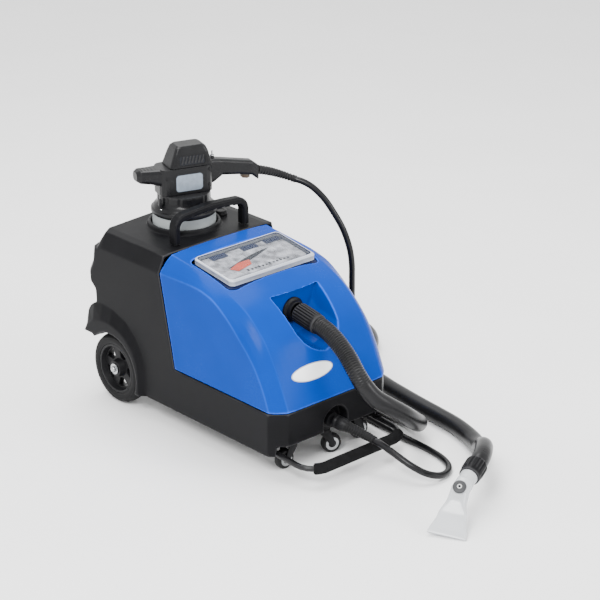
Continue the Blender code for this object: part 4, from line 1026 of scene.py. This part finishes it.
def nozzle_loft(stations, wall, overrun):
    """The nozzle's sections with smooth ones between them."""
    dense = []
    for (c0, a0, n0, h0, t0), (c1, a1, n1, h1, t1) in zip(stations, stations[1:]):
        for k in range(8):
            s = k / 8
            ease = s * s * (3 - 2 * s)
            half, thick = h0 + (h1 - h0) * ease, t0 + (t1 - t0) * ease
            dense.append((c0.lerp(c1, s), a0.lerp(a1, s), n0.lerp(n1, s), half, thick))
    dense.append(stations[-1])
    rings = []
    for centre, across, normal, half, thick in dense:
        high = (half - wall, thick - wall)
        outline = rounded((-high[0], -high[1]), high, min(high) * 0.9, 8)
        rings.append([centre + across * a + normal * b for a, b in outline])
    first = (stations[0][0] - stations[1][0]).normalized() * overrun
    last = (stations[-1][0] - stations[-2][0]).normalized() * overrun
    rings[0] = [point + first for point in rings[0]]
    rings[-1] = [point + last for point in rings[-1]]
    return loft(rings)


# ---- wheels and casters

def make_wheels():
    for name, side in (("left", -1), ("right", 1)):
        place = aim((side * 0.183, AXLE_Y, WHEEL_RADIUS), (side, 0, 0))
        section = [(0.0714, -0.0245), (0.08, -0.025), (0.088, -0.0245), (0.0945, -0.02), (0.0982, -0.011)]
        section += [(0.0995, -0.0012), (0.0984, -0.0006), (0.0984, 0.0006), (0.0995, 0.0012)]
        section += [(0.0982, 0.011), (0.0945, 0.02), (0.0885, 0.0243), (0.0868, 0.0238), (0.085, 0.0247)]
        section += [(0.08, 0.025), (0.0755, 0.0245), (0.0714, 0.0225)]
        tyre = moved(lathe(section, 144), place)
        piece("tyre_tread_" + name, tyre, TYRE, "wheel_" + name, "tyre_" + name, smooth=50)
        refined("rim_" + name, DARK, 0.0014, 3)
        washer = [(0.0001, 0.0258), (0.0155, 0.0258), (0.0152, 0.0268), (0.015, 0.0274), (0.0088, 0.0276)]
        washer += [(0.0085, 0.03), (0.008, 0.033), (0.0062, 0.0348), (0.0035, 0.0357), (0.0001, 0.036)]
        nut = moved(lathe(washer, 48), place)
        piece("dome_nut_" + name, nut, STEEL, node="hub_nut_" + name)


def make_casters():
    for name in ("left", "centre", "right"):
        refined("caster_mount_" + name, DARK, 0.0006)
        refined("caster_fork_" + name, DARK, 0.0008)
        low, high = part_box("caster_wheel_" + name)
        centre = (low + high) / 2
        joint = next(j for j in frame["joints"] if j["name"] == "caster_" + name + "_roll")
        axis = Vector(joint["axis"])
        half = 0.0128
        tread = [(0.0001, -half), (0.006, -half), (0.0068, -0.0112), (0.0085, -0.0104), (0.0205, -0.0104)]
        tread += [(0.0225, -0.0108), (0.0248, -0.0096), (0.0264, -0.0066), (0.027, 0.0)]
        whole = tread + [(radius, -height) for radius, height in reversed(tread[:-1])]
        body = "caster_roll_" + name
        wheel = aimed(lathe(whole, 64), centre, axis)
        piece("caster_tread_" + name, wheel, RUBBER, body, "caster_wheel_" + name)
        trim = lathe([(0.0105, 0.0102), (0.0185, 0.0102), (0.0182, 0.0112), (0.0108, 0.0112)], 48)
        for end, where in ((-1, "_far"), (1, "_near")):
            ring = aimed(trim, centre, axis * end)
            piece("caster_ring_" + name + where, ring, STEEL, body)


def make_bar():
    piece("lift_bar_tube", cad_shape("lift_bar"), BAR, node="lift_bar", smooth=70)
    turn = arc((0.117, BAR_FRONT_Y + BAR_BEND), BAR_BEND, -90, -52, 8)
    half = [(x, y, BAR_FRONT_Z + 0.008 * (y - BAR_FRONT_Y) / 0.134) for x, y in turn]
    route = [(-x, y, z) for x, y, z in reversed(half)] + [(0, BAR_FRONT_Y, BAR_FRONT_Z)] + half
    line = smooth_line(route, 8)
    whole = lengths_of(line)[-1]
    count = 110
    line = at_lengths(line, [whole * k / count for k in range(count + 1)])

    def soft(place):
        end = min(place, whole - place)
        lump = 0.00035 * noise.noise(Vector((place * 60, 3.0, 1.0)))
        return GRIP_RADIUS - 0.0042 * max(0.0, 1 - end / 0.0035) ** 2 + lump

    piece("foam_sleeve", tube(line, soft, 48), FOAM, node="bar_grip", smooth=60)
    for side in ("left", "right"):
        refined("bar_clamp_" + side, DARK, 0.0012, 3)


# ---- deck and rear

def make_deck():
    handle = new_object("handle_grip", cad_shape("carry_handle"))
    mould(handle, 0.0011, 5)
    groove = lathe([(0.0001, -0.03), (0.0135, -0.03), (0.0135, 0.03), (0.0001, 0.03)], 40)
    for k in range(6):
        x = -0.0675 + 0.027 * k
        height = 0.5455 + 0.003 * (1 - (x / 0.07) ** 2)
        cut(handle, aimed(groove, (x, HANDLE_Y, height), (0, 1, 0)))
    dress(handle, BLACK, node="carry_handle", smooth=50)
    low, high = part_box("filler_cap")
    centre = (low + high) / 2
    tall = high.z - low.z
    profile = [(0.0001, 0), (0.018, 0), (0.0182, 0.0004), (0.0182, 0.0044), (0.0176, 0.005)]
    profile += [(0.0172, 0.006), (0.0166, 0.0124), (0.016, 0.0134), (0.0148, tall), (0.01, tall)]
    profile += [(0.0096, tall - 0.001)]
    profile += [(0.0001, tall - 0.001)]
    cap = lathe(profile, 120, fluted(24, 0.001, 0.0052, 0.0126))
    piece("cap_grip", shifted(cap, centre.x, centre.y, low.z), DARK, "cap", "filler_cap")


def make_rear():
    refined("rear_panel", DARK, 0.0012, 3)
    refined("switch_vacuum", RED, 0.0007, 3)
    refined("switch_foam", RED, 0.0007, 3)
    refined("mains_inlet", BLACK, 0.0008, 2)
    pin = prism(rounded((-0.001, -0.003), (0.001, 0.003), 0.0008), 0.4326, 0.4366)
    for k, (x, z) in enumerate(((0.038, 0.2375), (0.052, 0.2375), (0.045, 0.2435))):
        piece("inlet_pin_" + str(k), shifted(pin, x, 0, z), STEEL)
    head = [(0.0001, 0), (0.003, 0), (0.0029, 0.0006), (0.0022, 0.0012), (0.0008, 0.0013), (0.0001, 0.0005)]
    for k, (x, z) in enumerate(((-0.078, 0.212), (0.078, 0.212), (-0.078, 0.276), (0.078, 0.276))):
        piece("panel_screw_" + str(k), aimed(lathe(head, 24), (x, 0.4293, z), (0, 1, 0)), STEEL)


# ---- brush tool

def make_brush():
    def bristly(angle, radius, height):
        if radius < 0.06:
            return radius
        place = Vector((math.cos(angle), math.sin(angle), 0))
        return radius - 0.0004 - 0.0004 * noise.noise(place * 40)

    rows = [(0.05, 0.4784), (0.084, 0.4784), (0.0862, 0.49), (0.0868, 0.5), (0.0866, 0.515)]
    rows += [(0.085, 0.5284), (0.053, 0.5284)]
    tufts = on_tool(lathe(rows, 360, bristly))
    piece("bristle_tufts", tufts, BRISTLE, "brush", "bristle_ring", smooth=60)
    refined("brush_plate", DARK, 0.0008)


def column_ripple(angle, radius, height):
    """Shallow upright flutes round the motor column."""
    if height < 0.566 or radius < 0.05:
        return radius
    wave = 0.5 + 0.5 * math.cos(12 * angle)
    return radius - 0.0016 * wave ** 6


def make_tool_column():
    profile = [(0.015, 0.5382), (0.0884, 0.5382), (0.0884, 0.533), (0.0894, 0.5326), (0.09, 0.5335)]
    profile += [(0.09, 0.543), (0.0888, 0.5446)]
    profile += [(0.0858, 0.5452), (0.085, 0.5462), (0.0848, 0.549), (0.08, 0.5545), (0.0766, 0.5575)]
    profile += [(0.0738, 0.562), (0.073, 0.567), (0.0727, 0.58), (0.0723, 0.5876), (0.032, 0.5877)]
    profile += [(0.032, 0.55), (0.015, 0.55)]
    column = lathe(profile, 240, column_ripple)
    tool_piece("motor_column", column, TOOL_BLACK, node="tool_column", smooth=45)
    head = [(0.0001, -0.001), (0.0032, -0.001), (0.0032, 0.0016), (0.0024, 0.0024), (0.001, 0.0025)]
    head += [(0.0008, 0.0012), (0.0001, 0.0012)]
    for k, turn in enumerate((200, 250, 280, 310, 20, 110, 155)):
        x, y = math.cos(math.radians(turn)), math.sin(math.radians(turn))
        screw = aimed(lathe(head, 28), (0.0815 * x, 0.0815 * y, 0.551), (0.45 * x, 0.45 * y, 1))
        tool_piece("collar_screw_" + str(k), screw, STEEL)
    lever = [(-0.074, 0.556), (-0.08, 0.557), (-0.083, 0.565), (-0.08, 0.579), (-0.0745, 0.58)]
    tool_piece("clip_lever", prism(lever, -0.03, -0.018), DARK, bevel=0.0015)


def make_tool_head():
    head = new_object("tool_housing", cad_shape("tool_head"))
    mould(head, 0.001, 5)
    groove = lathe([(0.0001, -0.0195), (0.0022, -0.0185), (0.0022, 0.0185), (0.0001, 0.0195)], 20)
    for k in range(5):
        cut(head, on_tool(aimed(groove, (-0.0865 - 0.0095 * k, 0, 0.664), (0, 1, 0))))
    dress(head, TOOL_BLACK, "tool", "tool_head", 50)
    socket = [(0.0026, -0.001), (0.0042, -0.001), (0.0042, 0.0006), (0.0036, 0.001), (0.0026, 0.0006)]
    wells = [(-0.118, -0.0245, 0.641), (-0.062, -0.0395, 0.637), (0.062, -0.0395, 0.607)]
    wells += [(0.062, -0.0395, 0.65), (0.1, -0.0178, 0.64), (0.185, -0.0178, 0.638)]
    wells += [(u, -v, z) for u, v, z in wells[:4]]
    for k, (u, v, z) in enumerate(wells):
        well = aimed(lathe(socket, 28), (u, v, z), (0, math.copysign(1, v), 0))
        tool_piece("screw_well_" + str(k), well, DARK)


def cap_side(z, depth):
    """Half the cap's width at a height, less a depth into its side."""
    return CAP_HALF_WIDTH - (z - CAP_BASE_Z) * CAP_SIDE_SLOPE - depth


def make_tool_cap():
    """Vented cap: a recessed panel with slanted louvres on both sides."""
    cap = new_object("vented_cap", cad_shape("tool_cap"))
    mould(cap, 0.001, 5)
    for side in (-1, 1):
        panel = rounded((-0.024, 0.6685), (0.05, 0.6945), 0.005)
        inner = [(u, side * cap_side(z, 0.0016), z) for u, z in panel]
        cut(cap, on_tool(loft([inner, [(u, side * 0.06, z) for u, z in panel]])))
    dress(cap, TOOL_BLACK, "tool", "tool_cap", 50)
    for side, where in ((-1, "left"), (1, "right")):
        panel = rounded((-0.0232, 0.6693), (0.0492, 0.6937), 0.0045)
        rings = [[(u, side * cap_side(z, depth), z) for u, z in panel] for depth in (0.0022, 0.0014)]
        # Painted shade: a very dark plate behind the louvres stands for the shade in the slots between
        # them.
        tool_piece("vent_painted_shade_" + where, loft(rings), PRINT_AND_SHADE_DARK)
        for k in range(7):
            rings = []
            for u, z in ((0.0095 * k - 0.0175, 0.672), (0.0095 * k - 0.0115, 0.693)):
                front, back = u - 0.0024, u + 0.0024
                near, far = side * cap_side(z, 0.0001), side * cap_side(z, 0.0016)
                rings.append([(front, far, z), (back, far, z), (back, near, z), (front, near, z)])
            tool_piece("louvre_" + where + "_" + str(k), loft(rings), BAR, bevel=0.0005)


def make_tool_details():
    plate = []
    for v in (-0.0416, -0.0404):
        plate.append([(u, v, z) for u, z in rounded((-0.0365, 0.5985), (0.0395, 0.6445), 0.009, 8)])
    tool_piece("label_face", loft(plate), LABEL, "label_plate", 0.0005)
    rim = []
    for grow, v in ((0.0, -0.0403), (0.0016, -0.0403), (0.0016, -0.041), (0.0, -0.0412)):
        line = rounded((-0.0375 - grow, 0.5975 - grow), (0.0405 + grow, 0.6455 + grow), 0.01, 8)
        rim.append([(u, v, z) for u, z in line])
    tool_piece("label_frame", loft(rim, around=True), TOOL_BLACK, smooth=30)
    refined("trigger", TRIGGER, 0.0008)
    refined("toggle", STEEL, 0.0003)
    nut = [(0.0047, 0.6735), (0.0062, 0.6735), (0.0066, 0.6745), (0.0062, 0.6762), (0.0047, 0.6765)]
    tool_piece("toggle_nut", shifted(lathe(nut, 6), 0.084, 0, 0), STEEL, bevel=0.0004)


def make_tool_relief():
    start = TOOL_FRAME @ Vector((0.2182, 0, 0.6142))
    along = TOOL_FRAME @ Vector((0.2582, 0, 0.605)) - start
    end = Vector(CABLE_ROUTE[-1])
    inward = Vector(CABLE_ROUTE[-2]) - end
    last = end - inward.normalized() * FACE_GAP
    return ringed(start, along, last, inward, 0.0132, 0.0106, 14, "tool_relief", "tool")


# ---- the rest of the CAD

PLAIN_NODES = {
    "recovery_tank": (GREY, "tank_grey"),
    "float_cage": (DARK, "inner_dark"),
    "float_ball": (WHITE, "float_white"),
    "foam_tank": (WHITE, "tank_white"),
    "vacuum_motor": (DARK, "inner_dark"),
    "foam_pump": (DARK, "inner_dark"),
    "axle": (STEEL, "steel"),
    "vacuum_impeller": (STEEL, "steel"),
    "armature": (COPPER, "copper"),
}


def finish_inside():
    for name, (finish, slot) in PLAIN_NODES.items():
        node = frame["nodes"][name]
        node.data.materials.clear()
        node.data.materials.append(finish)


add_camera()
add_studio()
hose, hose_path = make_hose()
cable, cable_path = make_cable()
hood = make_hood()
make_badge(hood)
make_body()
make_lid()
make_port()
plug, front_relief = make_connector()
hose_pieces = make_hose_end()
make_wheels()
make_casters()
make_bar()
make_deck()
make_rear()
make_brush()
make_tool_column()
make_tool_head()
make_tool_cap()
make_tool_details()
tool_relief = make_tool_relief()
finish_inside()
